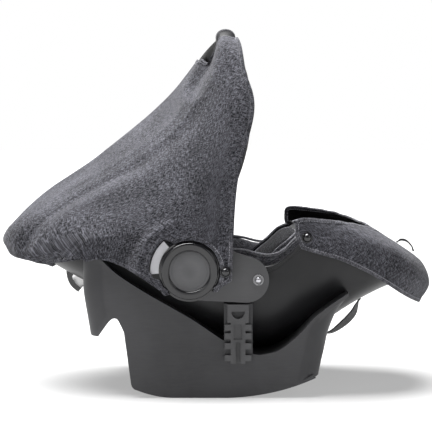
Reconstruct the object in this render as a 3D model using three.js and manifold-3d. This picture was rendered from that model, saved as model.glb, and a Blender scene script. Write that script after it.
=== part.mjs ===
// Infant car seat of the carrier kind (group 0+): a moulded bowl on a rocker base, a carry handle
// that swings on two hubs, a canopy, a leg cover, a padded liner and a three-point harness.
// Millimetres, +Z up, +X towards the feet, -X towards the head. The left side is +Y.
// The origin is on the floor, at the middle of the length and of the width.

import * as THREE from 'three';
import { mergeVertices } from 'three/addons/utils/BufferGeometryUtils.js';
import Module from 'manifold-3d';

const wasm = await Module();
wasm.setup();

// ---- driving dimensions ------------------------------------------------------------------------

const HEAD_END = -308;          // ends of the bowl, along X
const FOOT_END = 306;
const BOWL_WALL = 4;
const RIM_FLANGE = 9;           // how far the rim stands out of the bowl
const RIM_THICKNESS = 3.5;
const BOWL_FULLNESS = 2.6;      // exponent of the superellipse of a bowl section
const BOSS_RADIUS = 40;         // boss on the bowl behind each ear plate, a little below the hub
const BOSS_DROP = 6;
const GAP = 0.5;                // clearance between pieces that rest on each other

const SKIRT_FACE = 182;         // half width of the rocker base
const SKIRT_WALL = 4;
const LAND_START = -62;         // flat part of the rockers, which stands on the floor
const LAND_END = 18;

const HUB_X = -39;              // axis of the handle
const HUB_Z = 194;
const HUB_RADIUS = 42;
const EAR_FACE = 196;           // outer face of the plate that carries the hub
const EAR_BACK = 183;
const HUB_BACK = 200;
const HUB_FACE = 213;
const CAP_FACE = 220.5;
const BOLT_RADIUS = 6;
const BUTTON_ANGLE = 158;       // the release button's direction from the axis, degrees
const BUTTON_SPREAD = 27;
const BUTTON_INNER = 42.6;
const BUTTON_OUTER = 58;
const BUTTON_TRAVEL = 5;

const ARM_Y = 206;              // middle of a handle arm
const GRIP_HALF_LENGTH = 72;
const CLOTH = 4;                // thickness of canopy and leg cover
const WEBBING = 2;
const WEBBING_WIDTH = 25;

// ---- materials ---------------------------------------------------------------------------------

const material = (colour, roughness, metalness = 0) =>
  new THREE.MeshStandardMaterial({ color: colour, roughness, metalness });

const looks = {
  skirt: material(0x3c3c3e, 0.6),
  bowl: material(0x2b2b2e, 0.55),
  gloss: material(0x141416, 0.15),
  hub: material(0x56565a, 0.55),
  grey: material(0xd6d6da, 0.4),
  rubber: material(0x1a1a1c, 0.85),
  fabric: material(0x4c4c52, 0.95),
  lining: material(0x151517, 0.95),
  padFabric: material(0x56565c, 0.95),
  foam: material(0xe6e6e6, 0.9),
  webbing: material(0x18181a, 0.8),
  red: material(0xb01818, 0.4),
  steel: material(0xb8b8bc, 0.3, 1),
};

// ---- geometry helpers --------------------------------------------------------------------------

const point = (x, y, z) => new THREE.Vector3(x, y, z);
const degrees = THREE.MathUtils.degToRad;
const catmull = (points) => new THREE.CatmullRomCurve3(points, false, 'catmullrom', 0.5);

// A smooth curve value = f(x) through [x, value] pairs.
function through(pairs) {
  const slope = (k) => {
    const [xa, va] = pairs[Math.max(k - 1, 0)];
    const [xb, vb] = pairs[Math.min(k + 1, pairs.length - 1)];
    return (vb - va) / (xb - xa);
  };
  return (x) => {
    let i = 0;
    while (i < pairs.length - 2 && x > pairs[i + 1][0]) i += 1;
    const [x0, v0] = pairs[i];
    const [x1, v1] = pairs[i + 1];
    const span = x1 - x0;
    const t = THREE.MathUtils.clamp((x - x0) / span, 0, 1);
    const rise = t * t * (3 - 2 * t);
    const startPull = t * (1 - t) * (1 - t) * span * slope(i);
    const endPull = t * t * (t - 1) * span * slope(i + 1);
    return v0 + (v1 - v0) * rise + startPull + endPull;
  };
}

// A closed geometry from points and triangles, turned so that its faces point out.
function closedGeometry(points, triangles) {
  let volume = 0;
  for (const [a, b, c] of triangles) {
    volume += points[a].dot(points[b].clone().cross(points[c]));
  }
  const index = triangles.flatMap(([a, b, c]) => (volume < 0 ? [a, c, b] : [a, b, c]));
  const geometry = new THREE.BufferGeometry().setFromPoints(points);
  geometry.setIndex(index);
  return geometry;
}

// A solid through a row of closed rings with equal point counts, each end capped by a fan.
function loft(rings) {
  const count = rings[0].length;
  const points = rings.flat();
  const triangles = [];
  for (let r = 0; r < rings.length - 1; r += 1) {
    for (let k = 0; k < count; k += 1) {
      const a = r * count + k;
      const b = r * count + ((k + 1) % count);
      triangles.push([a, b, b + count], [a, b + count, a + count]);
    }
  }
  for (const [ring, flipped] of [[0, true], [rings.length - 1, false]]) {
    const centre = rings[ring].reduce((sum, p) => sum.add(p), point(0, 0, 0)).divideScalar(count);
    points.push(centre);
    for (let k = 0; k < count; k += 1) {
      const a = ring * count + k;
      const b = ring * count + ((k + 1) % count);
      triangles.push(flipped ? [b, a, points.length - 1] : [a, b, points.length - 1]);
    }
  }
  return closedGeometry(points, triangles);
}

// A solid between two grids of points, joined round their edges.
function between(outer, inner) {
  const rows = outer.length;
  const columns = outer[0].length;
  const points = [...outer.flat(), ...inner.flat()];
  const under = rows * columns;
  const at = (r, c) => r * columns + c;
  const triangles = [];
  const quad = (a, b, c, d) => triangles.push([a, b, c], [a, c, d]);
  for (let r = 0; r < rows - 1; r += 1) {
    for (let c = 0; c < columns - 1; c += 1) {
      quad(at(r, c), at(r, c + 1), at(r + 1, c + 1), at(r + 1, c));
      quad(under + at(r, c), under + at(r + 1, c), under + at(r + 1, c + 1), under + at(r, c + 1));
    }
  }
  for (let r = 0; r < rows - 1; r += 1) {
    const end = columns - 1;
    quad(at(r, 0), at(r + 1, 0), under + at(r + 1, 0), under + at(r, 0));
    quad(at(r, end), under + at(r, end), under + at(r + 1, end), at(r + 1, end));
  }
  for (let c = 0; c < columns - 1; c += 1) {
    const end = rows - 1;
    quad(at(0, c), under + at(0, c), under + at(0, c + 1), at(0, c + 1));
    quad(at(end, c), at(end, c + 1), under + at(end, c + 1), under + at(end, c));
  }
  return closedGeometry(points, triangles);
}

// A sheet of cloth of one thickness, its middle on a grid of points.
function thickSheet(grid, thickness) {
  const normalAt = (r, c) => {
    const row = grid[r];
    const along = grid[Math.min(r + 1, grid.length - 1)][c].clone().sub(grid[Math.max(r - 1, 0)][c]);
    const across = row[Math.min(c + 1, row.length - 1)].clone().sub(row[Math.max(c - 1, 0)]);
    return along.cross(across).normalize();
  };
  const moved = (distance) => grid.map((row, r) =>
    row.map((p, c) => p.clone().addScaledVector(normalAt(r, c), distance)));
  return between(moved(thickness / 2), moved(-thickness / 2));
}

// A smooth grid through a net of control points whose columns run from the right-hand edge to
// the middle; the left half is its mirror image.
function mirroredNet(columns, rowCount, columnCount) {
  const mirror = columns.slice(0, -1).reverse().map((c) => c.map((p) => point(p.x, -p.y, p.z)));
  const whole = [...columns, ...mirror];
  const curves = whole.map(catmull);
  const grid = [];
  for (let r = 0; r <= rowCount; r += 1) {
    const row = curves.map((curve) => curve.getPoint(r / rowCount));
    const across = catmull(row);
    grid.push(Array.from({ length: columnCount + 1 }, (_, c) => across.getPoint(c / columnCount)));
  }
  return grid;
}

// A flat strap along a path; widthAt(t) gives the direction of its width.
function strap(path, width, thickness, steps, widthAt = () => point(0, 1, 0)) {
  const curve = catmull(path);
  const outer = [];
  const inner = [];
  for (let i = 0; i <= steps; i += 1) {
    const centre = curve.getPoint(i / steps);
    const side = widthAt(i / steps).clone().normalize();
    const up = curve.getTangent(i / steps).cross(side).normalize();
    for (const [rows, lift] of [[outer, thickness / 2], [inner, -thickness / 2]]) {
      const middle = centre.clone().addScaledVector(up, lift);
      rows.push([-0.5, 0.5].map((s) => middle.clone().addScaledVector(side, s * width)));
    }
  }
  return between(outer, inner);
}

// An outline in the X-Z plane, extruded between two values of Y.
function plate(shape, yFrom, yTo, curveSegments = 8) {
  const geometry = new THREE.ExtrudeGeometry(shape, {
    depth: Math.abs(yTo - yFrom), bevelEnabled: false, curveSegments,
  });
  return geometry.rotateX(Math.PI / 2).translate(0, Math.max(yFrom, yTo), 0);
}

function rectangle(x0, z0, x1, z1) {
  return new THREE.Shape([[x0, z0], [x1, z0], [x1, z1], [x0, z1]].map((p) => new THREE.Vector2(...p)));
}

function box(x0, y0, z0, x1, y1, z1) {
  return new THREE.BoxGeometry(x1 - x0, y1 - y0, z1 - z0)
    .translate((x0 + x1) / 2, (y0 + y1) / 2, (z0 + z1) / 2);
}

// A round bar along Y.
function bar(radius, yFrom, yTo, segments = 24) {
  return new THREE.CylinderGeometry(radius, radius, Math.abs(yTo - yFrom), segments)
    .translate(0, (yFrom + yTo) / 2, 0);
}

// A turned piece with its axis along Y, from [radius, y] pairs that run towards -Y.
function turned(profile, segments = 24) {
  return new THREE.LatheGeometry(profile.map((p) => new THREE.Vector2(...p)).reverse(), segments);
}

function mirrored(geometry) {
  const copy = geometry.clone().scale(1, -1, 1);
  const turnedOver = copy.index ? copy : mergeVertices(copy);
  const flipped = Array.from(turnedOver.index.array);
  for (let i = 0; i < flipped.length; i += 3) {
    [flipped[i + 1], flipped[i + 2]] = [flipped[i + 2], flipped[i + 1]];
  }
  turnedOver.setIndex(flipped);
  return turnedOver;
}

function solid(geometry) {
  const bare = geometry.clone();
  bare.deleteAttribute('normal');
  bare.deleteAttribute('uv');
  const merged = mergeVertices(bare, 1e-4);
  const corners = Array.from(merged.index.array);
  const triVerts = [];
  for (let i = 0; i < corners.length; i += 3) {
    const [a, b, c] = corners.slice(i, i + 3);
    if (a !== b && b !== c && c !== a) triVerts.push(a, b, c);
  }
  return new wasm.Manifold(new wasm.Mesh({
    numProp: 3,
    vertProperties: new Float32Array(merged.attributes.position.array),
    triVerts: new Uint32Array(triVerts),
  }));
}

function geometryOf(manifold) {
  const mesh = manifold.getMesh();
  const geometry = new THREE.BufferGeometry();
  geometry.setAttribute('position', new THREE.BufferAttribute(mesh.vertProperties, 3));
  geometry.setIndex(new THREE.BufferAttribute(mesh.triVerts, 1));
  return geometry;
}

const joined = (first, ...rest) =>
  geometryOf(rest.reduce((sum, g) => sum.add(solid(g)), solid(first)));
const cut = (first, ...rest) =>
  geometryOf(rest.reduce((left, g) => left.subtract(solid(g)), solid(first)));
const common = (first, second) => geometryOf(solid(first).intersect(solid(second)));

// ---- the bowl's shape --------------------------------------------------------------------------

const rimHeight = through([
  [-308, 247], [-260, 242], [-200, 226], [-120, 211], [-39, 203], [40, 200], [83, 198],
  [110, 216], [132, 237], [154, 245], [200, 238], [250, 220], [285, 198], [306, 184],
]);
const keelHeight = through([
  [-308, 234], [-290, 214], [-265, 196], [-234, 178], [-190, 155], [-150, 134], [-100, 106],
  [-50, 80], [0, 62], [50, 55], [100, 62], [150, 84], [200, 118], [235, 139], [269, 155],
  [290, 160], [306, 168],
]);
const halfWidth = through([
  [-308, 32], [-298, 68], [-280, 101], [-250, 126], [-200, 147], [-150, 159], [-100, 167],
  [0, 172], [100, 172], [180, 165], [235, 148], [270, 122], [293, 86], [306, 42],
]);

// Stations along the bowl, closer together near its ends, and the turns of a section.
const STATIONS = Array.from({ length: 21 }, (_, i) =>
  (HEAD_END + FOOT_END) / 2 - ((FOOT_END - HEAD_END) / 2) * Math.cos((Math.PI * i) / 20));
const TURNS = Array.from({ length: 13 }, (_, k) => -90 + 15 * k);

// A point of the bowl's section at x, moved inwards by inset; turn runs from -90 to 90 degrees.
function bowlPoint(x, turn, inset) {
  const shrink = 1 - inset / Math.abs(x > 0 ? FOOT_END : HEAD_END);
  const power = 2 / BOWL_FULLNESS;
  const depth = rimHeight(x) - keelHeight(x);
  const sine = Math.sin(degrees(turn));
  const y = (halfWidth(x) - inset) * Math.sign(sine) * Math.abs(sine) ** power;
  const z = rimHeight(x) - (depth - inset) * Math.max(Math.cos(degrees(turn)), 0) ** power;
  return point(x * shrink, y, z);
}

function bowlVolume(inset, riseAboveRim) {
  return loft(STATIONS.map((x) => {
    const ring = TURNS.map((turn) => bowlPoint(x, turn, inset));
    if (riseAboveRim > 0) {
      const lift = (p) => point(p.x, p.y, p.z + riseAboveRim);
      ring.push(lift(ring[ring.length - 1]), lift(ring[0]));
    }
    return ring;
  }));
}

function rimSlab() {
  const reach = 1 + RIM_FLANGE / FOOT_END;
  return loft(STATIONS.map((x) => {
    const side = halfWidth(x) + RIM_FLANGE;
    const top = rimHeight(x);
    return [[-side, top], [-side, top - RIM_THICKNESS], [side, top - RIM_THICKNESS], [side, top]]
      .map(([y, z]) => point(x * reach, y, z));
  }));
}

function seatShell() {
  const halfLength = EAR_BACK - 0.3;
  const hubBoss = bar(BOSS_RADIUS, -halfLength, halfLength).translate(HUB_X, 0, HUB_Z - BOSS_DROP);
  const body = solid(bowlVolume(0, 0)).add(solid(rimSlab())).add(solid(hubBoss));
  const hollow = solid(bowlVolume(BOWL_WALL, 60));
  const crotchSlot = solid(box(150, -16, 60, 158, 16, 120));
  return geometryOf(body.subtract(hollow).subtract(crotchSlot));
}

// Padding that lines the bowl between two insets, over part of its length and of its sections.
function lining(outerInset, innerInset, xFrom, xTo, maximumTurn, collarAt = () => 0) {
  const xs = STATIONS.filter((x) => x > xFrom && x < xTo);
  const turns = TURNS.filter((turn) => Math.abs(turn) <= maximumTurn);
  const grid = (inset) => xs.map((x) => {
    const row = turns.map((turn) => bowlPoint(x, turn, inset));
    const collar = collarAt(x);
    const lift = (p) => point(p.x, p.y, p.z + collar);
    return collar > 0 ? [lift(row[0]), ...row, lift(row[row.length - 1])] : row;
  });
  return between(grid(outerInset), grid(innerInset));
}

const padCollar = through([[-300, 6], [-100, 10], [-20, 20], [85, 21], [150, 8], [300, 4]]);

// ---- rocker base -------------------------------------------------------------------------------

// Top edge of the skirt, from the front corner to the rear leg.
const SKIRT_TOP = [
  [199, 158], [174, 141], [149, 122], [131, 102], [113, 85], [95, 72], [77, 66.5], [55, 66.5],
  [14, 85], [-34, 117], [-72, 139], [-110, 161], [-148, 186], [-174, 210],
];

function skirtOutline() {
  const shape = new THREE.Shape();
  shape.moveTo(-201, 214);
  shape.lineTo(-201, 165);
  shape.lineTo(-196, 131);
  shape.lineTo(-190.5, 96);
  shape.quadraticCurveTo(-190, 92, -186, 92);
  shape.lineTo(-177, 92);
  shape.lineTo(-165, 109);
  shape.quadraticCurveTo(-152, 128, -145, 114);
  shape.lineTo(-138, 99);
  shape.lineTo(-127.5, 21);
  shape.quadraticCurveTo(-126, 13, -119, 11.5);
  shape.quadraticCurveTo(-90, 0, LAND_START, 0);
  shape.lineTo(LAND_END, 0);
  shape.quadraticCurveTo(90, 2, 155, 32);
  for (const [x, z] of [[160, 55], [169, 94], [182, 127], [200, 152]]) shape.lineTo(x, z);
  for (const [x, z] of SKIRT_TOP) shape.lineTo(x, z);
  shape.lineTo(-178, 214);
  return shape;
}

// A level ring of the base: a rectangle with round corners.
function baseRing(z, back, front, inset) {
  const radius = 34 - inset;
  const side = SKIRT_FACE - inset;
  const corners = [
    [front - inset - radius, side - radius, 0], [back + inset + radius, side - radius, 90],
    [back + inset + radius, radius - side, 180], [front - inset - radius, radius - side, 270],
  ];
  return corners.flatMap(([x, y, start]) => Array.from({ length: 5 }, (_, k) => {
    const angle = degrees(start + 22.5 * k);
    return point(x + radius * Math.cos(angle), y + radius * Math.sin(angle), z);
  }));
}

function rockerBase() {
  const levels = [
    [-5, -190, 156], [32, -190, 156], [74, -190, 165], [94, -190.5, 169], [127, -196, 182],
    [158, -201, 203], [220, -201, 206],
  ];
  const tub = (inset, spare) => loft(levels.map(([z, back, front], i) => {
    const end = i === 0 ? -spare : i === levels.length - 1 ? spare : 0;
    return baseRing(z + end, back, front, inset);
  }));
  const outerTub = solid(tub(0, 0));
  const wall = outerTub.subtract(solid(tub(SKIRT_WALL, 2)))
    .intersect(solid(plate(skirtOutline(), -200, 200)));

  // inward flange along the rockers, on the floor side
  const flangeShape = new THREE.Shape();
  flangeShape.moveTo(-119, 11.5);
  flangeShape.quadraticCurveTo(-90, 0, LAND_START, 0);
  flangeShape.lineTo(LAND_END, 0);
  flangeShape.quadraticCurveTo(90, 2, 150, 30);
  flangeShape.lineTo(146, 34);
  flangeShape.quadraticCurveTo(90, 6, LAND_END, 4);
  flangeShape.lineTo(LAND_START, 4);
  flangeShape.quadraticCurveTo(-90, 4, -119, 15.5);
  const flanges = solid(plate(flangeShape, -190, 190))
    .subtract(solid(box(-200, -166, -10, 220, 166, 60))).intersect(outerTub);

  // ledge that closes the step between the skirt's top edge and the bowl
  const edge = SKIRT_TOP.map((p) => new THREE.Vector2(...p));
  const lower = edge.map((p) => new THREE.Vector2(p.x, p.y - 6)).reverse();
  const ledges = solid(plate(new THREE.Shape([...edge, ...lower]), -190, 190))
    .intersect(outerTub).subtract(solid(box(-300, -70, 0, 300, 70, 300)));

  // pillars under the ear plates, which carry the stroller guides
  const pillars = solid(box(12, -SKIRT_FACE, 45, 55, SKIRT_FACE, 142))
    .subtract(solid(box(0, -160, 0, 70, 160, 200)));

  const arch = new THREE.CylinderGeometry(1, 1, 40, 24).rotateZ(Math.PI / 2)
    .scale(1, 125, 34).translate(-195, 0, 90);
  const strapSlot = box(150, -22, 70, 200, 22, 84);
  const clearance = solid(bowlVolume(-GAP, 0)).add(solid(bowlVolume(-GAP, 60)));
  return geometryOf(wall.add(flanges).add(ledges).add(pillars)
    .subtract(clearance).subtract(solid(arch)).subtract(solid(strapSlot)));
}

// ---- hubs, ear plates and stroller guides ------------------------------------------------------

// Plate that carries the hub at the origin and the stud on its lobe.
function earPlate() {
  const lobe = { x: 84, z: -15, radius: 34 };
  const hubRadius = 45;
  const reach = Math.hypot(lobe.x, lobe.z);
  const lean = Math.atan2(lobe.z, lobe.x);
  const spread = Math.acos((hubRadius - lobe.radius) / reach);
  const shape = new THREE.Shape();
  shape.absarc(0, 0, hubRadius, lean + spread, lean - spread + 2 * Math.PI, false);
  shape.absarc(lobe.x, lobe.z, lobe.radius, lean - spread, lean + spread, false);
  const body = plate(shape, -EAR_BACK, -EAR_FACE, 14);
  const stud = bar(5.3, -EAR_BACK + 5, -EAR_FACE - 5).translate(102, 0, -15);
  return cut(body, bar(BOLT_RADIUS + 0.4, -EAR_BACK + 5, -EAR_FACE - 5), stud);
}

function detentRing() {
  const teeth = 10;
  const shape = new THREE.Shape();
  for (let k = 0; k < teeth * 2; k += 1) {
    const radius = k % 2 === 0 ? 30 : 26;
    const angle = (2 * Math.PI * k) / (teeth * 2);
    const place = [radius * Math.cos(angle), radius * Math.sin(angle)];
    if (k === 0) shape.moveTo(...place);
    else shape.lineTo(...place);
  }
  shape.holes.push(new THREE.Path().absarc(0, 0, 14, 0, 2 * Math.PI, true));
  return plate(shape, -EAR_FACE - 0.3, -HUB_BACK + 0.8, 6);
}

function annularSector(inner, outer, middle, spread) {
  const shape = new THREE.Shape();
  shape.absarc(0, 0, outer, degrees(middle - spread), degrees(middle + spread), false);
  shape.absarc(0, 0, inner, degrees(middle + spread), degrees(middle - spread), true);
  return shape;
}

function releaseButton() {
  const shape = annularSector(BUTTON_INNER, BUTTON_OUTER, BUTTON_ANGLE, BUTTON_SPREAD);
  return plate(shape, -HUB_BACK - 3.6, -HUB_FACE + 0.5, 8);
}

// Return spring of the release button, drawn at its pressed length.
function releaseSpring() {
  const turns = 4;
  const steps = 8;
  const start = 18.8;
  const length = 17;
  const coil = Array.from({ length: turns * steps + 1 }, (_, k) => {
    const angle = (2 * Math.PI * k) / steps;
    return point(start + (length * k) / (turns * steps), 3 * Math.cos(angle), 3 * Math.sin(angle));
  });
  const wire = new THREE.Shape(Array.from({ length: 4 }, (_, k) =>
    new THREE.Vector2(0.6 * Math.cos((Math.PI * k) / 2), 0.6 * Math.sin((Math.PI * k) / 2))));
  return new THREE.ExtrudeGeometry(wire, {
    steps: turns * steps, bevelEnabled: false, extrudePath: new THREE.CatmullRomCurve3(coil),
  }).translate(0, -(HUB_BACK + 8), 0).rotateY(-degrees(BUTTON_ANGLE));
}

function hubRing() {
  return turned([
    [30.3, -HUB_FACE - 0.3], [45.5, -HUB_FACE - 0.3], [45.5, -HUB_FACE - 1.6], [42, -HUB_FACE - 2.2],
    [41.5, -CAP_FACE + 1.5], [39.5, -CAP_FACE], [32, -CAP_FACE], [30.3, -CAP_FACE + 1.2],
    [30.3, -HUB_FACE - 0.3],
  ], 28);
}

function hubDisc() {
  return turned([
    [0, -HUB_FACE - 0.3], [29.9, -HUB_FACE - 0.3], [29.9, -CAP_FACE + 1.6], [28.5, -CAP_FACE + 0.8],
    [0, -CAP_FACE + 0.3],
  ], 28);
}

function pivotBolt() {
  return turned([
    [0, -EAR_BACK - 0.2], [BOLT_RADIUS, -EAR_BACK - 0.2], [BOLT_RADIUS, -HUB_FACE + 0.4],
    [0, -HUB_FACE + 0.4],
  ], 16);
}

function pressStud(radius, height) {
  return turned([
    [0, 0], [radius, 0], [radius, -0.3 * height], [0.8 * radius, -0.8 * height],
    [0.35 * radius, -height], [0, -height],
  ], 14);
}

// Guide that a stroller adapter clips on to: a block with a catch window over a stem with four
// pairs of lugs. Its middle is at the origin.
function adapterGuide() {
  const depth = 7;
  const windowTop = 34;
  const stem = plate(rectangle(-11, -44.5, 11, 18), -depth, 0);
  const head = plate(rectangle(-16, 17, 16, 44.5), -depth, 0);
  const lugs = [-36, -18, -3, 10].flatMap((z) =>
    [-1, 1].map((side) => box(side * 14 - 6, -depth, z - 4.5, side * 14 + 6, 0, z + 4.5)));
  const window = new THREE.Shape();
  window.absellipse(0, windowTop, 10, 11, Math.PI, 2 * Math.PI, false);
  const slide = box(-6, -depth - 1, -8, 6, -depth + 2.5, 14);
  const groove = box(-3.5, -depth - 1, -46, 3.5, -depth + 5, -12);
  return cut(joined(stem, head, ...lugs), plate(window, -depth - 1, 1), slide, groove);
}

// Hook under the head end, which the vehicle's shoulder belt is threaded behind.
function rearBeltGuide() {
  const halfLength = 55;
  const hook = new THREE.Shape();
  hook.moveTo(-203, 196);
  hook.lineTo(-236, 200);
  hook.splineThru([[-235, 174], [-229, 158], [-217, 147]].map((p) => new THREE.Vector2(...p)));
  hook.lineTo(-212, 153);
  hook.splineThru([[-222, 162], [-226, 172], [-219, 180]].map((p) => new THREE.Vector2(...p)));
  hook.lineTo(-203, 172);
  return cut(plate(hook, -halfLength, halfLength, 5), bowlVolume(-GAP, 0));
}

// ---- handle ------------------------------------------------------------------------------------

// Middle line of the right half of the handle, measured from the hub axis.
const HANDLE_LINE = [
  [12, -ARM_Y, 24], [33, -ARM_Y, 68], [48, -ARM_Y, 116], [68, -ARM_Y + 1, 176],
  [76, -ARM_Y + 8, 236], [71, -ARM_Y + 34, 287], [57, -ARM_Y + 76, 322], [54, -75, 349],
];

// An oval bar along the handle line; sizeAt(y) gives its half width and half thickness.
function handleBar(sizeAt, keep = () => true) {
  const right = HANDLE_LINE.map((p) => point(...p));
  const left = right.map((p) => point(p.x, -p.y, p.z)).reverse();
  const curve = catmull([...right, point(54, 0, 352), ...left]);
  const steps = 52;
  const sides = 10;
  const rings = [];
  for (let i = 0; i <= steps; i += 1) {
    const centre = curve.getPoint(i / steps);
    if (!keep(centre)) continue;
    const tangent = curve.getTangent(i / steps);
    const wide = point(1, 0, 0).addScaledVector(tangent, -tangent.x).normalize();
    const thick = tangent.clone().cross(wide);
    const [width, thickness] = sizeAt(Math.abs(centre.y));
    rings.push(Array.from({ length: sides }, (_, k) => {
      const angle = (2 * Math.PI * k) / sides;
      return centre.clone().addScaledVector(wide, width * Math.cos(angle))
        .addScaledVector(thick, thickness * Math.sin(angle));
    }));
  }
  return loft(rings);
}

const armWidth = through([[0, 15], [120, 15], [200, 15.5], [206, 16]]);
const armThickness = through([[0, 12.5], [90, 12], [150, 9], [200, 6.5], [206, 6.4]]);

function handleBow() {
  const core = [11.5, 9.5];
  const bow = handleBar((y) => (y < GRIP_HALF_LENGTH + 2 ? core : [armWidth(y), armThickness(y)]));
  const hubs = [-1, 1].map((side) => bar(HUB_RADIUS, side * HUB_BACK, side * HUB_FACE, 36));
  const recess = annularSector(35.5, BUTTON_OUTER + 2, BUTTON_ANGLE, BUTTON_SPREAD + 4);
  const cuts = [-1, 1].flatMap((side) => [
    plate(recess, side * (HUB_BACK + 3), side * (HUB_FACE + 5), 10),
    bar(BOLT_RADIUS + 0.4, side * (HUB_BACK - 5), side * (HUB_FACE + 5)),
    new THREE.CylinderGeometry(4.3, 4.3, 20, 12).rotateZ(Math.PI / 2)
      .translate(28, side * (HUB_BACK + 8), 0).rotateY(-degrees(BUTTON_ANGLE)),
  ]);
  return cut(joined(bow, ...hubs), ...cuts);
}

function gripSleeve() {
  const inGrip = (p) => Math.abs(p.y) < GRIP_HALF_LENGTH;
  const outer = handleBar(() => [15.5, 13.5], inGrip);
  return cut(outer, handleBar(() => [12.2, 10.2]));
}

// ---- cloth pieces ------------------------------------------------------------------------------

const toPoints = (list) => list.map((p) => point(...p));

// Columns of the canopy from its right lower hem to the ridge, each from the front edge to the
// rear hem.
const CANOPY_NET = [
  [[22, -217, 180], [-10, -217, 160], [-40, -217, 148], [-75, -213, 162], [-118, -206, 190],
    [-160, -197, 210], [-198, -188, 217]],
  [[30, -218, 320], [0, -217, 303], [-35, -215, 285], [-85, -209, 262], [-140, -199, 248],
    [-190, -190, 238], [-228, -173, 214]],
  [[55, -216, 430], [18, -213, 398], [-40, -193, 358], [-110, -176, 322], [-185, -163, 290],
    [-240, -156, 255], [-268, -142, 208]],
  [[43, -195, 488], [8, -191, 464], [-48, -168, 395], [-120, -150, 344], [-200, -136, 303],
    [-268, -132, 256], [-288, -118, 207]],
  [[36, -148, 532], [-2, -144, 526], [-64, -125, 422], [-145, -108, 358], [-230, -95, 308],
    [-312, -94, 254], [-312, -84, 206]],
  [[26, 0, 556], [-8, 0, 536], [-80, 0, 450], [-186, 0, 362], [-280, 0, 297], [-337, 0, 236],
    [-318, 0, 206]],
].map(toPoints);

function canopy() {
  const sheet = thickSheet(mirroredNet(CANOPY_NET, 14, 24), CLOTH);
  const hub = (radius) => bar(radius, -260, 260, 36);
  const buttonSector = annularSector(20, BUTTON_OUTER + 3.5, BUTTON_ANGLE, BUTTON_SPREAD + 5);
  const buttons = plate(buttonSector, -260, 260).translate(HUB_X, 0, HUB_Z);
  const gripSlot = box(-26, -117, 480, 90, 117, 620);
  return cut(sheet, hub(HUB_RADIUS + 4.5).translate(HUB_X, 0, HUB_Z), buttons, gripSlot);
}

// Columns of the leg cover from the right flap to the middle, each from the opening edge over
// the foot end to the hem under it.
const LEG_COVER_NET = [
  [[119, -192, 250], [120, -193, 244], [122, -194, 238], [125, -194, 232], [128, -193, 226]],
  [[124, -191, 269], [133, -194, 257], [140, -195, 245], [147, -195, 232], [151, -193, 219]],
  [[165, -184, 267], [178, -189, 250], [187, -190, 236], [191, -189, 221], [192, -187, 206]],
  [[201, -162, 261], [229, -171, 245], [246, -174, 225], [247, -171, 203], [238, -165, 183]],
  [[238, -100, 250], [274, -117, 228], [303, -124, 202], [307, -122, 174], [290, -118, 149]],
  [[256, 0, 240], [293, 0, 216], [328, 0, 191], [341, 0, 157], [326, 0, 128]],
].map(toPoints);

const legCover = () => thickSheet(mirroredNet(LEG_COVER_NET, 7, 24), CLOTH);

// ---- harness -----------------------------------------------------------------------------------

const SHOULDER_LINE = toPoints([
  [-120, -42, 182], [-60, -46, 176], [10, -52, 186], [68, -60, 206], [102, -66, 234],
  [124, -62, 246], [130, -40, 228], [113, -19, 208],
]);
const CROTCH_LINE = toPoints([[147.5, 0, 122], [145.5, 0, 125.5], [143, 0, 129]]);
const BACK_LINE = toPoints([[-132, -42, 110], [-108, -34, 96], [-80, -18, 80]]);
const UNDER_LINE = toPoints([[-60, 0, 70], [0, 0, 52], [60, 0, 44], [110, 0, 52], [146, 0, 66]]);
const TAIL_LINE = toPoints([
  [158, 0, 74], [184, 0, 77], [206, 0, 92], [220, 0, 107], [226, 0, 121], [231, 0, 133],
]);
const HANG_LINE = toPoints([
  [290, 0, 222], [297, 0, 226], [306, 0, 224], [314, 0, 216], [317, 0, 208],
]);
const BELT_WIDTH = 38;          // the wider webbing under the seat and of the adjuster tail
const SHOULDER_LEAN = (t) => point(0, 1, 0.45 * Math.sin(Math.PI * t));
const SHOULDER_PAD = { from: 0.4, to: 0.69, width: 50, thickness: 12 };

const shoulderStrap = () => strap(SHOULDER_LINE, WEBBING_WIDTH, WEBBING, 40, SHOULDER_LEAN);

function shoulderPad() {
  const curve = catmull(SHOULDER_LINE);
  const count = 6;
  const along = (t) => SHOULDER_PAD.from + (SHOULDER_PAD.to - SHOULDER_PAD.from) * t;
  const path = Array.from({ length: count + 1 }, (_, i) => curve.getPoint(along(i / count)));
  const { width, thickness } = SHOULDER_PAD;
  const body = strap(path, width, thickness, 10, (t) => SHOULDER_LEAN(along(t)));
  const slot = strap(SHOULDER_LINE, WEBBING_WIDTH + 2, WEBBING + 1.2, 40, SHOULDER_LEAN);
  return cut(body, slot);
}

// A block with rounded plan corners and soft edges, centred on the origin, lying in X-Y.
function softBlock(length, width, height, radius, bevel) {
  const shape = new THREE.Shape();
  const x = length / 2 - radius - bevel;
  const y = width / 2 - radius - bevel;
  shape.absarc(x, y, radius, 0, Math.PI / 2, false);
  shape.absarc(-x, y, radius, Math.PI / 2, Math.PI, false);
  shape.absarc(-x, -y, radius, Math.PI, 1.5 * Math.PI, false);
  shape.absarc(x, -y, radius, 1.5 * Math.PI, 2 * Math.PI, false);
  return new THREE.ExtrudeGeometry(shape, {
    depth: height - 2 * bevel, bevelEnabled: true, bevelThickness: bevel, bevelSize: bevel,
    bevelSegments: 1, curveSegments: 3,
  }).translate(0, 0, -height / 2 + bevel);
}

const BUCKLE = { x: 128, z: 158, tilt: 65, length: 60, width: 52, height: 20, button: 24 };

function buckleBody() {
  const pocket = box(-1, -15, -2, 1 + BUCKLE.button, 15, 20);
  const tongueSlot = box(-40, -24, -3, -16, 24, 3);
  return cut(softBlock(BUCKLE.length, BUCKLE.width, BUCKLE.height, 8, 3), pocket, tongueSlot);
}

const buckleButton = () => softBlock(BUCKLE.button, 28.6, 10, 3, 1);

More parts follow.
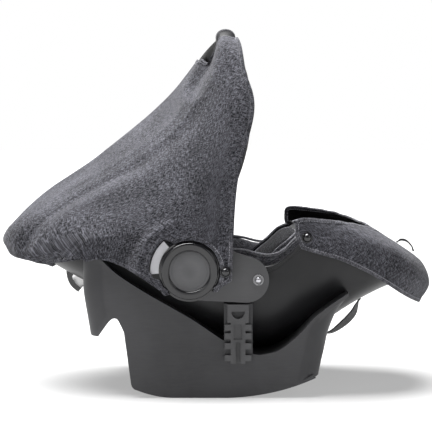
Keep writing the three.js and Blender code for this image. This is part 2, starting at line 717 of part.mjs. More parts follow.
function buckleTongue() {
  const blade = box(-38, -20, -1.2, -17, -4, 1.2);
  return joined(blade, softBlock(16, 24, 5, 3, 1).translate(-42, -15, 0));
}

const ADJUSTER = { x: 195, z: 166, tilt: -31 };

function adjusterHousing() {
  return cut(softBlock(46, 38, 14, 6, 2), box(-4, -9, -2, 15, 9, 10));
}

const adjusterButton = () => softBlock(17.6, 16.6, 8, 2, 1);

function splitterPlate() {
  const shape = rectangle(-11, -22, 11, 22);
  for (const z of [-14, 0, 14]) {
    const slot = new THREE.Path();
    slot.absarc(0, z, 3, 0, 2 * Math.PI, true);
    shape.holes.push(slot);
  }
  return plate(shape, -1.2, 1.2, 6).rotateX(Math.PI / 2);
}

// ---- assembly ----------------------------------------------------------------------------------

const seat = new THREE.Group();
const hubGroup = new THREE.Group();
hubGroup.position.set(HUB_X, 0, HUB_Z);
const handle = new THREE.Group();
handle.position.set(HUB_X, 0, HUB_Z);
const buckle = new THREE.Group();
buckle.position.set(BUCKLE.x, 0, BUCKLE.z);
buckle.rotation.y = degrees(BUCKLE.tilt);
const adjuster = new THREE.Group();
adjuster.position.set(ADJUSTER.x, 0, ADJUSTER.z);
adjuster.rotation.y = degrees(ADJUSTER.tilt);
seat.add(hubGroup, handle, buckle, adjuster);

function add(group, name, geometry, look, place = [0, 0, 0], tilt = 0) {
  const mesh = new THREE.Mesh(geometry, look);
  mesh.name = name;
  mesh.position.set(...place);
  mesh.rotation.y = degrees(tilt);
  group.add(mesh);
}

// A right-hand piece and its mirror image.
function addPair(group, name, geometry, look, place = [0, 0, 0]) {
  const [x, y, z] = place;
  add(group, `${name}_right`, geometry, look, place);
  add(group, `${name}_left`, mirrored(geometry), look, [x, -y, z]);
}

// shell and base
add(seat, 'seat_shell', seatShell(), looks.bowl);
add(seat, 'rocker_base', rockerBase(), looks.skirt);
addPair(seat, 'adapter_guide', adapterGuide(), looks.bowl, [33, -SKIRT_FACE - 0.3, 97]);
add(seat, 'rear_belt_guide', rearBeltGuide(), looks.bowl);

// ear plates, hub pieces on the shell side
addPair(hubGroup, 'ear_plate', earPlate(), looks.bowl);
addPair(hubGroup, 'detent_ring', detentRing(), looks.steel);
addPair(hubGroup, 'pivot_bolt', pivotBolt(), looks.steel);
addPair(hubGroup, 'ear_stud', pressStud(8, 4), looks.gloss, [102, -EAR_FACE - 0.3, -15]);

// handle
add(handle, 'handle_bow', handleBow(), looks.bowl);
add(handle, 'grip_sleeve', gripSleeve(), looks.rubber);
addPair(handle, 'hub_ring', hubRing(), looks.gloss);
addPair(handle, 'hub_disc', hubDisc(), looks.hub);
addPair(handle, 'release_button', releaseButton(), looks.grey);
addPair(handle, 'release_spring', releaseSpring(), looks.steel);

// padding in the bowl
add(seat, 'foam_liner', lining(4.6, 15, -290, 80, 75), looks.foam);
add(seat, 'seat_pad', lining(15.6, 28, -285, 275, 90, padCollar), looks.padFabric);
add(seat, 'infant_insert', lining(28.8, 42, -175, 130, 60), looks.padFabric);
add(seat, 'head_support', lining(28.8, 52, -275, -178, 75), looks.padFabric);

// harness
addPair(seat, 'shoulder_strap', shoulderStrap(), looks.webbing);
addPair(seat, 'shoulder_pad', shoulderPad(), looks.padFabric);
add(buckle, 'buckle_body', buckleBody(), looks.gloss);
add(buckle, 'buckle_button', buckleButton(), looks.red, [12, 0, 8.5]);
addPair(buckle, 'buckle_tongue', buckleTongue(), looks.steel);
add(seat, 'crotch_strap', strap(CROTCH_LINE, 30, WEBBING, 3), looks.webbing);
add(adjuster, 'adjuster_housing', adjusterHousing(), looks.gloss);
add(adjuster, 'adjuster_button', adjusterButton(), looks.bowl, [5.5, 0, 5.6]);
add(seat, 'adjuster_tail', strap(TAIL_LINE, BELT_WIDTH, WEBBING, 10), looks.webbing);
add(seat, 'splitter_plate', splitterPlate(), looks.steel, [-72, 0, 74], 18);
add(seat, 'under_strap', strap(UNDER_LINE, BELT_WIDTH, WEBBING, 10), looks.webbing);
addPair(seat, 'back_strap', strap(BACK_LINE, WEBBING_WIDTH, WEBBING, 4), looks.webbing);

// cloth and its fasteners
add(seat, 'leg_cover', legCover(), looks.fabric);
add(seat, 'hang_loop', strap(HANG_LINE, 12, WEBBING, 8), looks.webbing);
addPair(seat, 'leg_cover_snap', pressStud(8, 5), looks.gloss, [135, -198, 242]);
add(seat, 'canopy', canopy(), looks.fabric);
addPair(seat, 'canopy_snap', pressStud(8, 5), looks.gloss, [14, -220, 193]);

export default seat;
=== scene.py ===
"""Infant car seat: the looks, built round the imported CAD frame. Metres, +Z up, +X towards the feet."""
import math

import bmesh
import bpy
import numpy as np
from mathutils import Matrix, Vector, noise
from mathutils.bvhtree import BVHTree


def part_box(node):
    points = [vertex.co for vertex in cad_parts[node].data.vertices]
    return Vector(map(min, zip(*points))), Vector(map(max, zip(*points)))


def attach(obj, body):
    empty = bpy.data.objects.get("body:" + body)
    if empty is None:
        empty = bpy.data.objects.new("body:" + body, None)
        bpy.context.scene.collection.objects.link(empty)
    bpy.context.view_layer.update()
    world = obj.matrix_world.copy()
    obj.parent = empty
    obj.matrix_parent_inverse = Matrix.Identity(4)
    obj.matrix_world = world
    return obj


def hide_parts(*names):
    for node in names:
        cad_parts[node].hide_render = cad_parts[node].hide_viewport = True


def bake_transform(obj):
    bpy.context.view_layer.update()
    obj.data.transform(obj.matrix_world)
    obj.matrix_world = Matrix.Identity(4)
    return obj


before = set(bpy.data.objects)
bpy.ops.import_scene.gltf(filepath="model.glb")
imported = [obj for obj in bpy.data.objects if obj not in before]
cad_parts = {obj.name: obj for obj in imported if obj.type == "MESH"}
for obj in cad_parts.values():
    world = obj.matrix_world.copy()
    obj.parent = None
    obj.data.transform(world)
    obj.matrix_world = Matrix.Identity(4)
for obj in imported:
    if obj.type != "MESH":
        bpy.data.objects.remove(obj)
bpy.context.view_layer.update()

MM = 0.001


# ---- places taken from the frame ---------------------------------------------------------------

def middle(node):
    low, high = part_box(node)
    return (low + high) / 2


HUB = middle("hub_ring_right")
HUB_PLACE = Vector((HUB.x, 0, HUB.z))


# ---- mesh helpers ------------------------------------------------------------------------------

def metres(pairs):
    """A profile or outline given in millimetres, in metres."""
    return [(a * MM, b * MM) for a, b in pairs]


def unit(vectors):
    """Rows or cells of vectors scaled to length 1."""
    return vectors / np.maximum(np.linalg.norm(vectors, axis=-1, keepdims=True), 1e-12)


def along_path(path):
    """The distance run at each point of a polyline."""
    return np.concatenate([[0], np.cumsum(np.linalg.norm(np.diff(path, axis=0), axis=1))])


def smooth_shading(mesh):
    mesh.polygons.foreach_set("use_smooth", [True] * len(mesh.polygons))


def lay_uvs(mesh, uvs):
    """Gives a mesh texture places, one for each of its points."""
    layer = mesh.uv_layers.new(name="UVMap")
    for loop in mesh.loops:
        layer.data[loop.index].uv = uvs[loop.vertex_index]


def set_material(obj, material):
    obj.data.materials.clear()
    obj.data.materials.append(material)


def through(pairs):
    """A smooth curve value = f(x) through (x, value) pairs."""
    xs = [p[0] for p in pairs]
    vs = [p[1] for p in pairs]

    def slope(k):
        a, b = max(k - 1, 0), min(k + 1, len(xs) - 1)
        return (vs[b] - vs[a]) / (xs[b] - xs[a])

    def value(x):
        i = 0
        while i < len(xs) - 2 and x > xs[i + 1]:
            i += 1
        span = xs[i + 1] - xs[i]
        t = min(max((x - xs[i]) / span, 0), 1)
        rise = t * t * (3 - 2 * t)
        pull = t * (1 - t) ** 2 * span * slope(i) + t * t * (t - 1) * span * slope(i + 1)
        return vs[i] + (vs[i + 1] - vs[i]) * rise + pull

    return value


def spline(points, count):
    """count + 1 points evenly spaced in parameter on a Catmull-Rom curve through points."""
    p = np.array(points, float)
    ends = np.vstack([2 * p[0] - p[1], p, 2 * p[-1] - p[-2]])
    t = np.linspace(0, len(p) - 1, count + 1)
    i = np.clip(t.astype(int), 0, len(p) - 2)
    s = (t - i)[:, None]
    a, b, c, d = ends[i], ends[i + 1], ends[i + 2], ends[i + 3]
    return 0.5 * (2 * b + (c - a) * s + (2 * a - 5 * b + 4 * c - d) * s ** 2
                  + (3 * b - a - 3 * c + d) * s ** 3)


def even(points, count):
    """count + 1 points evenly spaced along a polyline."""
    p = np.array(points, float)
    along = along_path(p)
    wanted = np.linspace(0, along[-1], count + 1)
    return np.stack([np.interp(wanted, along, p[:, k]) for k in range(p.shape[1])], axis=1)


def mirrored_net(columns, rows, across):
    """A smooth grid [row][column] through control columns given from the right edge to the middle."""
    right = [np.array(c, float) * MM for c in columns]
    left = [c * np.array([1, -1, 1]) for c in reversed(right[:-1])]
    curves = np.stack([spline(c, rows) for c in right + left], axis=1)
    return np.stack([spline(row, across) for row in curves])


def link(name, mesh, material):
    obj = bpy.data.objects.new(name, mesh)
    bpy.context.scene.collection.objects.link(obj)
    if material is not None:
        mesh.materials.append(material)
    return obj


def build(name, points, faces, material, uvs=None, crease_angle=None):
    """A smooth-shaded mesh object; uvs are per point, in metres."""
    mesh = bpy.data.meshes.new(name)
    mesh.from_pydata([tuple(p) for p in points], [], faces)
    smooth_shading(mesh)
    if uvs is not None:
        lay_uvs(mesh, uvs)
    obj = link(name, mesh, material)
    tidy_normals(obj)
    if crease_angle is not None:
        mesh.set_sharp_from_angle(angle=math.radians(crease_angle))
    return obj


def tidy_normals(obj):
    bm = bmesh.new()
    bm.from_mesh(obj.data)
    bmesh.ops.recalc_face_normals(bm, faces=bm.faces)
    bm.to_mesh(obj.data)
    bm.free()


def grid_faces(rows, columns, wrap=False):
    """Four-sided faces over a grid of points; wrap joins each row's end to its start."""
    faces = []
    last = columns if wrap else columns - 1
    for r in range(rows - 1):
        for c in range(last):
            d = (c + 1) % columns
            faces.append((r * columns + c, r * columns + d, (r + 1) * columns + d, (r + 1) * columns + c))
    return faces


def grid_uvs(grid):
    """Arc lengths along and across a grid, in metres."""
    along = np.concatenate([np.zeros((1, grid.shape[1])),
                            np.cumsum(np.linalg.norm(np.diff(grid, axis=0), axis=2), axis=0)])
    across = np.concatenate([np.zeros((grid.shape[0], 1)),
                             np.cumsum(np.linalg.norm(np.diff(grid, axis=1), axis=2), axis=1)], axis=1)
    across -= across[:, -1:] / 2
    return np.stack([along, across], axis=2).reshape(-1, 2)


def grid_normals(grid):
    along = np.gradient(grid, axis=0)
    across = np.gradient(grid, axis=1)
    return unit(np.cross(along, across))


def outward_normals(grid, centre):
    """A grid's normals, turned away from centre."""
    normals = grid_normals(grid)
    return normals * np.sign(np.sum(normals * (grid - np.array(centre)), axis=2).sum())


def grid_shares(grid):
    """Each point's share of the way down the rows, 0 to 1, and across the columns, -1 to 1."""
    rows, columns = grid.shape[:2]
    return np.meshgrid(np.linspace(0, 1, rows), np.linspace(-1, 1, columns), indexing="ij")


def closed_rings(rings, count):
    """The faces of rows of count points, each row a ring, with the last row joined to the first."""
    faces = grid_faces(rings, count, wrap=True)
    last = (rings - 1) * count
    for k in range(count):
        following = (k + 1) % count
        faces.append((last + k, last + following, following, k))
    return faces


def loft(name, rings, material, uvs=None, crease_angle=40):
    """A body through rings of equal point counts, closed by flat ends."""
    count = len(rings[0])
    points = [p for ring in rings for p in ring]
    faces = grid_faces(len(rings), count, wrap=True)
    faces.append(tuple(reversed(range(count))))
    faces.append(tuple(range(len(points) - count, len(points))))
    return build(name, points, faces, material, uvs, crease_angle)


def turned(name, profile, place, side, material, segments=96, crease_angle=35):
    """A turned piece with its axis along Y; profile holds (radius, distance from the middle plane)."""
    rings = []
    for radius, distance in profile:
        rings.append([(place.x + radius * math.cos(2 * math.pi * k / segments), side * distance,
                       place.z + radius * math.sin(2 * math.pi * k / segments)) for k in range(segments)])
    return loft(name, rings, material, crease_angle=crease_angle)


def modify(obj, kind, **settings):
    modifier = obj.modifiers.new(kind.lower(), kind)
    for key, value in settings.items():
        setattr(modifier, key, value)
    return modifier


def apply_modifiers(obj):
    bpy.context.view_layer.update()
    graph = bpy.context.evaluated_depsgraph_get()
    mesh = bpy.data.meshes.new_from_object(obj.evaluated_get(graph), depsgraph=graph)
    old = obj.data
    obj.modifiers.clear()
    obj.data = mesh
    bpy.data.meshes.remove(old)


def combine(base, tools):
    """base joined with or cut by (operation, object) tools, which are used up."""
    for operation, tool in tools:
        modify(base, "BOOLEAN", operation=operation, object=tool, solver="EXACT")
        apply_modifiers(base)
        bpy.data.objects.remove(tool)
    return base


def soften(obj, width, segments=2, angle=35):
    """Rounds the sharp edges of a hard piece, with smooth shading over the rest."""
    smooth_shading(obj.data)
    obj.data.set_sharp_from_angle(angle=math.radians(angle))
    modify(obj, "BEVEL", width=width, segments=segments, limit_method="ANGLE",
           angle_limit=math.radians(angle), harden_normals=True, use_clamp_overlap=True)
    return obj


def prism(name, outline, y_from, y_to):
    """An outline of (x, z) points extruded along Y."""
    rings = [[(x, y, z) for x, z in outline] for y in (y_from, y_to)]
    return loft(name, rings, None, crease_angle=30)


def block(name, low, high):
    x0, y0, z0 = low
    x1, y1, z1 = high
    return prism(name, [(x0, z0), (x1, z0), (x1, z1), (x0, z1)], y0, y1)


def both_sides(make):
    """Calls make(side, suffix) for the right side, -1, and the left side, 1."""
    return [make(-1, "right"), make(1, "left")]


def ribbon(name, path, side_at, width, thickness, material):
    """A flat strap of rounded section along path; side_at(i) is the direction of its width."""
    path = np.array(path, float)
    tangents = np.gradient(path, axis=0)
    edge = 0.35 * thickness / width
    section = [(-0.5, 0.0), (-0.5 + edge, 0.5), (0.5 - edge, 0.5),
               (0.5, 0.0), (0.5 - edge, -0.5), (-0.5 + edge, -0.5)]
    rings, uvs = [], []
    run = along_path(path)
    for i, centre in enumerate(path):
        side = np.array(side_at(i), float)
        side -= tangents[i] * side.dot(tangents[i]) / max(tangents[i].dot(tangents[i]), 1e-12)
        side /= np.linalg.norm(side)
        up = np.cross(tangents[i], side)
        up /= np.linalg.norm(up)
        rings.append([centre + side * a * width + up * b * thickness for a, b in section])
        uvs += [(run[i], a * width) for a, b in section]
    return loft(name, rings, material, uvs, crease_angle=50)


def piping(name, path, radius, material, sides=8):
    """A thin round bead along path."""
    path = np.array(path, float)
    tangents = np.gradient(path, axis=0)
    turns = [2 * math.pi * k / sides for k in range(sides)]
    rings = []
    up = Vector((0.13, 0.2, 0.97)).normalized()
    for centre, tangent in zip(path, tangents):
        t = Vector(tangent).normalized()
        a = t.cross(up)
        if a.length < 0.05:
            a = t.cross(Vector((1, 0, 0)))
        a.normalize()
        b = a.cross(t)
        up = b
        rings.append([Vector(centre) + radius * (a * math.cos(turn) + b * math.sin(turn))
                      for turn in turns])
    return loft(name, rings, material)


# ---- materials ---------------------------------------------------------------------------------

MIX_FIRST, MIX_SECOND, MIX_RESULT = 6, 7, 2     # the Mix node's colour sockets


class Tree:
    """A node tree, with short calls for the nodes that the materials share."""

    def __init__(self, owner):
        owner.use_nodes = True
        self.nodes, self.links = owner.node_tree.nodes, owner.node_tree.links

    def fill(self, node, inputs):
        """Sets or links a node's inputs; inputs gives each socket a value or another node's output."""
        for socket, value in inputs.items():
            if isinstance(value, bpy.types.NodeSocket):
                self.links.new(value, node.inputs[socket])
            else:
                node.inputs[socket].default_value = value

    def node(self, kind, inputs, **settings):
        node = self.nodes.new(f"ShaderNode{kind}")
        for key, value in settings.items():
            setattr(node, key, value)
        self.fill(node, inputs)
        return node

    def coordinates(self, output):
        return self.node("TexCoord", {}).outputs[output]

    def axes(self, vector):
        return self.node("SeparateXYZ", {"Vector": vector}).outputs

    def noise(self, source, scale, detail=3, roughness=0.6):
        """Noise with its own scale along each axis, in cells to the metre."""
        mapping = self.node("Mapping", {"Scale": scale, "Vector": source})
        return self.node("TexNoise", {"Scale": 1, "Detail": detail, "Roughness": roughness,
                                      "Vector": mapping.outputs["Vector"]}).outputs["Fac"]

    def maths(self, operation, *values):
        return self.node("Math", dict(enumerate(values)), operation=operation).outputs[0]

    def wave(self, place, period):
        return self.maths("SINE", self.maths("MULTIPLY", place, 2 * math.pi / period))

    def mix(self, share, first, second):
        inputs = {"Factor": share, MIX_FIRST: first, MIX_SECOND: second}
        return self.node("Mix", inputs, data_type="RGBA").outputs[MIX_RESULT]

    def ramp(self, factor, *stops):
        node = self.node("ValToRGB", {"Fac": factor})
        elements = node.color_ramp.elements
        while len(elements) < len(stops):
            elements.new(0.5)
        for element, (place, colour) in zip(elements, stops):
            element.position = place
            element.color = (*colour, 1)
        return node.outputs["Color"]

    def bump(self, height, strength, distance):
        node = self.node("Bump", {"Strength": strength, "Distance": distance, "Height": height})
        return node.outputs["Normal"]


def new_material(name):
    material = bpy.data.materials.new(name)
    tree = Tree(material)
    return material, tree, tree.nodes["Principled BSDF"]


SLUB_ALONG, SLUB_ACROSS = 150, 720      # slubs to the metre, along a thread and across it
THREAD = 0.9 * MM


def melange_fabric(name, dark, light, by_uv=True, stitch=None, bias=0.0):
    """Cross-woven melange cloth: slubby warp and weft threads of two greys over a fine weave."""
    material, tree, shader = new_material(name)
    flat = tree.coordinates("UV" if by_uv else "Object")
    source = tree.node("Mapping", {"Rotation": (0, 0, bias), "Vector": flat}).outputs["Vector"]
    through_cloth = 1 if by_uv else 800
    warp = tree.noise(source, (SLUB_ALONG, SLUB_ACROSS, through_cloth), 4)
    weft = tree.noise(source, (SLUB_ACROSS, SLUB_ALONG, through_cloth), 4)
    patch = tree.noise(source, (14, 14, 14), 2)
    threads = tree.maths("MULTIPLY", tree.maths("ADD", warp, weft), 0.5)
    proud = tree.maths("MAXIMUM", warp, weft)
    mixed = tree.maths("MULTIPLY", tree.maths("ADD", threads, proud), 0.5)
    mixed = tree.maths("MULTIPLY_ADD", patch, 0.14, mixed)
    middle_colour = [0.62 * a + 0.38 * b for a, b in zip(dark, light)]
    colour = tree.ramp(mixed, (0.51, dark), (0.605, middle_colour), (0.70, light))
    yarn = tree.axes(source)
    weave = tree.maths("MULTIPLY", tree.wave(yarn["X"], THREAD), tree.wave(yarn["Y"], THREAD))
    height = tree.maths("MULTIPLY_ADD", weave, 0.35, threads)
    if stitch is not None:
        colour, height = add_stitches(tree, tree.axes(flat), colour, height, *stitch)
    tree.fill(shader, {"Base Color": colour, "Normal": tree.bump(height, 0.55, 0.5 * MM),
                       "Roughness": 0.92, "Specular IOR Level": 0.12,
                       "Sheen Weight": 0.09, "Sheen Roughness": 0.45})
    return material


def add_stitches(tree, place, colour, height, offset, thread_colour):
    """A row of stitches at one distance across a band whose UV is (along, across)."""
    away = tree.maths("ABSOLUTE", tree.maths("SUBTRACT", place["Y"], offset))
    near = tree.maths("LESS_THAN", away, 0.35 * MM)
    phase = tree.maths("FRACT", tree.maths("DIVIDE", place["X"], 4 * MM))
    mask = tree.maths("MULTIPLY", near, tree.maths("LESS_THAN", phase, 0.68))
    groove = tree.maths("LESS_THAN", away, 0.7 * MM)
    height = tree.maths("MULTIPLY_ADD", groove, -1.2, height)
    height = tree.maths("MULTIPLY_ADD", mask, 1.6, height)
    return tree.mix(mask, colour, (*thread_colour, 1)), height


def moulded_plastic(name, colour, roughness, grain=0.12, coat=0.0):
    """Moulded plastic with spark-eroded grain, faint flow marks and lighter scuffed edges."""
    material, tree, shader = new_material(name)
    place = tree.coordinates("Object")
    grain_scale = 1 / (0.7 * MM)
    fine = tree.noise(place, (grain_scale, grain_scale, grain_scale))
    cloud = tree.noise(place, (9, 9, 9), 4)
    scratch = tree.noise(place, (60, 300, 500), 5, 0.7)
    base = tree.ramp(cloud, (0.3, [c * 0.88 for c in colour]),
                     (0.72, [min(c * 1.35 + 0.006, 1) for c in colour]))
    edge = tree.node("NewGeometry", {}).outputs["Pointiness"]
    worn = tree.maths("MULTIPLY", tree.maths("SUBTRACT", edge, 0.515), 9)
    worn = tree.node("Clamp", {"Value": worn}).outputs[0]
    worn = tree.maths("MULTIPLY", worn, tree.maths("MULTIPLY", scratch, 0.3))
    scuffed = [min(c * 2.2 + 0.05, 1) for c in colour]
    tree.fill(shader, {"Base Color": tree.mix(worn, base, (*scuffed, 1)),
                       "Roughness": tree.maths("MULTIPLY_ADD", scratch, 0.16, roughness - 0.08),
                       "Normal": tree.bump(fine, grain, 0.25 * MM), "Specular IOR Level": 0.3})
    if coat:
        tree.fill(shader, {"Coat Weight": coat, "Coat Roughness": 0.08})
    return material


def woven_strap(name, colour):
    """Polyester webbing: fine chevrons across and ribs along."""
    material, tree, shader = new_material(name)
    flat = tree.coordinates("UV")
    place = tree.axes(flat)
    across = tree.wave(place["Y"], 1.6 * MM)
    along = tree.wave(tree.maths("MULTIPLY_ADD", across, 0.5 * MM, place["X"]), 1.4 * MM)
    fuzz = tree.noise(flat, (500, 500, 1))
    height = tree.maths("MULTIPLY_ADD", along, 0.35, tree.maths("MULTIPLY", fuzz, 0.6))
    lighter = [c * 2.6 + 0.01 for c in colour]
    tree.fill(shader, {"Base Color": tree.ramp(height, (0.1, colour), (0.8, lighter)),
                       "Normal": tree.bump(height, 0.5, 0.4 * MM), "Roughness": 0.78,
                       "Sheen Weight": 0.15})
    return material


def zinc_steel(name):
    """Zinc-plated steel with drawn streaks."""
    material, tree, shader = new_material(name)
    streaks = tree.noise(tree.coordinates("Object"), (900, 60, 900), 4)
    colour = tree.ramp(streaks, (0.3, (0.42, 0.42, 0.44)), (0.7, (0.62, 0.62, 0.65)))
    tree.fill(shader, {"Base Color": colour, "Normal": tree.bump(streaks, 0.15, 0.2 * MM), "Metallic": 1,
                       "Roughness": tree.maths("MULTIPLY_ADD", streaks, 0.25, 0.2)})
    return material


def bead_foam(name):
    """Moulded polystyrene: welded beads a few millimetres across."""
    material, tree, shader = new_material(name)
    beads = tree.node("TexVoronoi", {"Scale": 260, "Vector": tree.coordinates("Object")})
    rise = beads.outputs["Distance"]
    colour = tree.ramp(rise, (0.1, (0.86, 0.86, 0.85)), (0.8, (0.7, 0.7, 0.69)))
    tree.fill(shader, {"Base Color": colour, "Normal": tree.bump(rise, -0.4, 0.6 * MM), "Roughness": 0.7})
    return material


CHARCOAL = ((0.006, 0.006, 0.007), (0.125, 0.125, 0.145))
STITCH_PLACE = 4.2 * MM

fabric = melange_fabric("charcoal_melange", *CHARCOAL, bias=0.85)
hem_fabric = melange_fabric("charcoal_melange_hem", *CHARCOAL, stitch=(STITCH_PLACE, (0.12, 0.12, 0.13)))
fabric_band = melange_fabric("charcoal_melange_band", (0.02, 0.02, 0.023), (0.17, 0.17, 0.19),
                             stitch=(STITCH_PLACE, (0.30, 0.30, 0.33)))
pad_fabric = melange_fabric("pad_melange", (0.03, 0.03, 0.034), (0.19, 0.19, 0.21), by_uv=False)
strap_pad_fabric = melange_fabric("strap_pad_melange", (0.008, 0.008, 0.009), (0.075, 0.075, 0.082),
                                  by_uv=False)
# Near-black lining cloth, kept this dark also to paint the shade inside the canopy's hand opening.
lining_and_shade_fabric = melange_fabric("black_lining_and_painted_shade", (0.001, 0.001, 0.001), (0.009, 0.009, 0.010), by_uv=False)
piping_fabric = melange_fabric("grey_piping", (0.10, 0.10, 0.11), (0.36, 0.36, 0.39), by_uv=False)
webbing = woven_strap("black_webbing", (0.006, 0.006, 0.007))
skirt_plastic = moulded_plastic("skirt_plastic", (0.028, 0.028, 0.030), 0.5, grain=0.2)
# Dark plastic of the bowl and the handle, partly painted shade: set darker than the skirt to stand for the
# shadow on the bowl above the skirts.
dark_plastic_and_shade = moulded_plastic("dark_plastic_and_shade", (0.008, 0.008, 0.009), 0.42)
ear_plastic = moulded_plastic("ear_plastic", (0.045, 0.045, 0.047), 0.36, grain=0.1)
gloss_plastic = moulded_plastic("gloss_plastic", (0.004, 0.004, 0.005), 0.14, grain=0.02, coat=0.6)
hub_plastic = moulded_plastic("hub_plastic", (0.062, 0.062, 0.065), 0.5, grain=0.25)
button_plastic = moulded_plastic("button_plastic", (0.46, 0.46, 0.49), 0.35, grain=0.08)
rivet_plastic = moulded_plastic("rivet_plastic", (0.17, 0.17, 0.175), 0.35, grain=0.1)
red_plastic = moulded_plastic("red_plastic", (0.5, 0.02, 0.018), 0.3, grain=0.05, coat=0.3)
grip_fabric = melange_fabric("grip_cover", (0.012, 0.012, 0.014), (0.12, 0.12, 0.13), by_uv=False)
steel = zinc_steel("zinc_steel")
foam = bead_foam("bead_foam")
insert_fabric = melange_fabric("insert_melange", (0.05, 0.05, 0.055), (0.26, 0.26, 0.28), by_uv=False)


# ---- the bowl ----------------------------------------------------------------------------------

rim_height = through([
    (-308, 247), (-260, 242), (-200, 226), (-120, 211), (-39, 203), (40, 200), (83, 198),
    (110, 216), (132, 237), (154, 245), (200, 238), (250, 220), (285, 198), (306, 184),
])
keel_height = through([
    (-308, 234), (-290, 214), (-265, 196), (-234, 178), (-190, 155), (-150, 134), (-100, 106),
    (-50, 80), (0, 62), (50, 55), (100, 62), (150, 84), (200, 118), (235, 139), (269, 155),
    (290, 160), (306, 168),
])
half_width = through([
    (-308, 32), (-298, 68), (-280, 101), (-250, 126), (-200, 147), (-150, 159), (-100, 167),
    (0, 172), (100, 172), (180, 165), (235, 148), (270, 122), (293, 86), (306, 42),
])


def bowl_point(x, turn, inset=0.0):
    """A point of the bowl's section at x millimetres; turn is in degrees, 0 at the keel, 90 at the rim."""
    shrink = 1 - inset / (FOOT_END if x > 0 else -HEAD_END)
    power = 2 / 2.6
    sine = math.sin(math.radians(turn))
    cosine = max(math.cos(math.radians(turn)), 0)
    y = (half_width(x) - inset) * math.copysign(abs(sine) ** power, sine)
    z = rim_height(x) - (rim_height(x) - keel_height(x) - inset) * cosine ** power
    return np.array([x * shrink, y, z]) * MM


HEAD_END, FOOT_END = -308, 306      # the bowl's ends in millimetres


def stations(count):
    """x places from the head end to the foot end, in millimetres, closer together at both ends."""
    centre, reach = (HEAD_END + FOOT_END) / 2, (FOOT_END - HEAD_END) / 2
    return [centre - reach * math.cos(math.pi * i / count) for i in range(count + 1)]


def bowl_shell():
    xs = stations(84)
    turns = np.linspace(-90, 90, 49)
    grid = [[bowl_point(x, turn) for turn in turns] for x in xs]
    columns = len(turns)
    points = [p for row in grid for p in row]
    faces = grid_faces(len(xs), columns)
    for row in (0, len(xs) - 1):
        points.append(np.mean(grid[row], axis=0))
        faces += [(row * columns + k, row * columns + k + 1, len(points) - 1) for k in range(columns - 1)]
    bowl = build("bowl_shell", points, faces, dark_plastic_and_shade)
    modify(bowl, "SOLIDIFY", thickness=4 * MM, offset=-1)
    apply_modifiers(bowl)
    crotch_slot = block("slot", (150 * MM, -16 * MM, 60 * MM), (158 * MM, 16 * MM, 120 * MM))
    combine(bowl, [("DIFFERENCE", crotch_slot)])
    bowl.data.set_sharp_from_angle(angle=math.radians(40))
    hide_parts("seat_shell")
    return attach(bowl, "shell")


def rim_loop():
    """The closed line of the bowl's rim, head end to foot end along the right side and back."""
    xs = stations(110)
    right = [bowl_point(x, -90) for x in xs]
    left = [bowl_point(x, 90) for x in reversed(xs)]
    loop = np.array(right + left)
    return even(np.vstack([loop, loop[:1]]), 300)[:-1]


def smooth_loop(loop, rounds):
    """A closed row of points or vectors, each drawn towards its two neighbours."""
    for _ in range(rounds):
        loop = (np.roll(loop, 1, axis=0) + 2 * loop + np.roll(loop, -1, axis=0)) / 4
    return loop


def hoop(name, loop, profile, material, crease_angle=35):
    """A closed ring: profile (outward, up) carried round a closed line whose inside is its left."""
    tangents = np.roll(loop, -1, axis=0) - np.roll(loop, 1, axis=0)
    up = np.array([0.0, 0.0, 1.0])
    outward = np.cross(tangents, up)
    outward /= np.linalg.norm(outward, axis=1, keepdims=True)
    points = [p + o * a + up * b for p, o in zip(loop, outward) for a, b in profile]
    return build(name, points, closed_rings(len(loop), len(profile)), material, crease_angle=crease_angle)


def bowl_rim():
    """The rim's rolled flange with a second, lower line under it."""
    profile = [(-4, -1), (-3, 0.4), (-1.5, 1.0), (6.5, 0.6), (8.4, 0), (9.2, -1.2), (9.2, -3.4),
               (8.4, -4.6), (7.0, -4.8), (5.6, -3.6), (4.6, -3.4), (4.2, -5.5), (3.4, -8.4),
               (2.2, -9.2), (-1.0, -9.0), (-3.5, -5)]
    rim = hoop("bowl_rim", smooth_loop(rim_loop(), 4), metres(profile), dark_plastic_and_shade, 50)
    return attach(rim, "shell")


def hub_bosses():
    profile = [(0, 150), (40, 150), (40, 180.5), (39.2, 182), (38, 182.6), (0, 182.6)]
    place = Vector((HUB.x, 0, HUB.z - 6 * MM))

    def boss(side, suffix):
        piece = turned(f"hub_boss_{suffix}", metres(profile), place, side, dark_plastic_and_shade)
        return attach(piece, "shell")

    return both_sides(boss)


# ---- the rocker base ---------------------------------------------------------------------------

SKIRT_TOP = [
    (199, 158), (174, 141), (149, 122), (131, 102), (113, 85), (95, 72), (77, 66.5), (55, 66.5),
    (14, 85), (-34, 117), (-72, 139), (-110, 161), (-148, 186), (-174, 210),
]


def quadratic(start, control, end, count=10):
    """count points of a curve that leaves start towards control and comes from it to end."""
    a, b, c = (np.array(p, float) for p in (start, control, end))
    return [tuple((1 - t) ** 2 * a + 2 * t * (1 - t) * b + t * t * c)
            for t in np.linspace(0, 1, count + 1)[1:]]


def skirt_outline():
    path = [(-201, 214), (-201, 165), (-196, 131), (-190.5, 96)]
    path += quadratic(path[-1], (-190, 92), (-186, 92), 5) + [(-177, 92), (-165, 109)]
    path += quadratic(path[-1], (-152, 128), (-145, 114)) + [(-138, 99), (-127.5, 21)]
    path += quadratic(path[-1], (-126, 13), (-119, 11.5), 5)
    path += quadratic(path[-1], (-90, 0), (-62, 0)) + [(18, 0)]
    path += quadratic(path[-1], (90, 2), (155, 32), 16)
    path += [(160, 55), (169, 94), (182, 127), (200, 152)]
    path += [tuple(p) for p in spline(SKIRT_TOP, 60)] + [(-178, 214)]
    return metres(path)


base_back = through([(-5, -190), (74, -190), (94, -190.5), (127, -196), (158, -201), (220, -201)])
base_front = through([(-5, 156), (32, 156), (74, 165), (94, 169), (127, 182), (158, 203), (220, 206)])


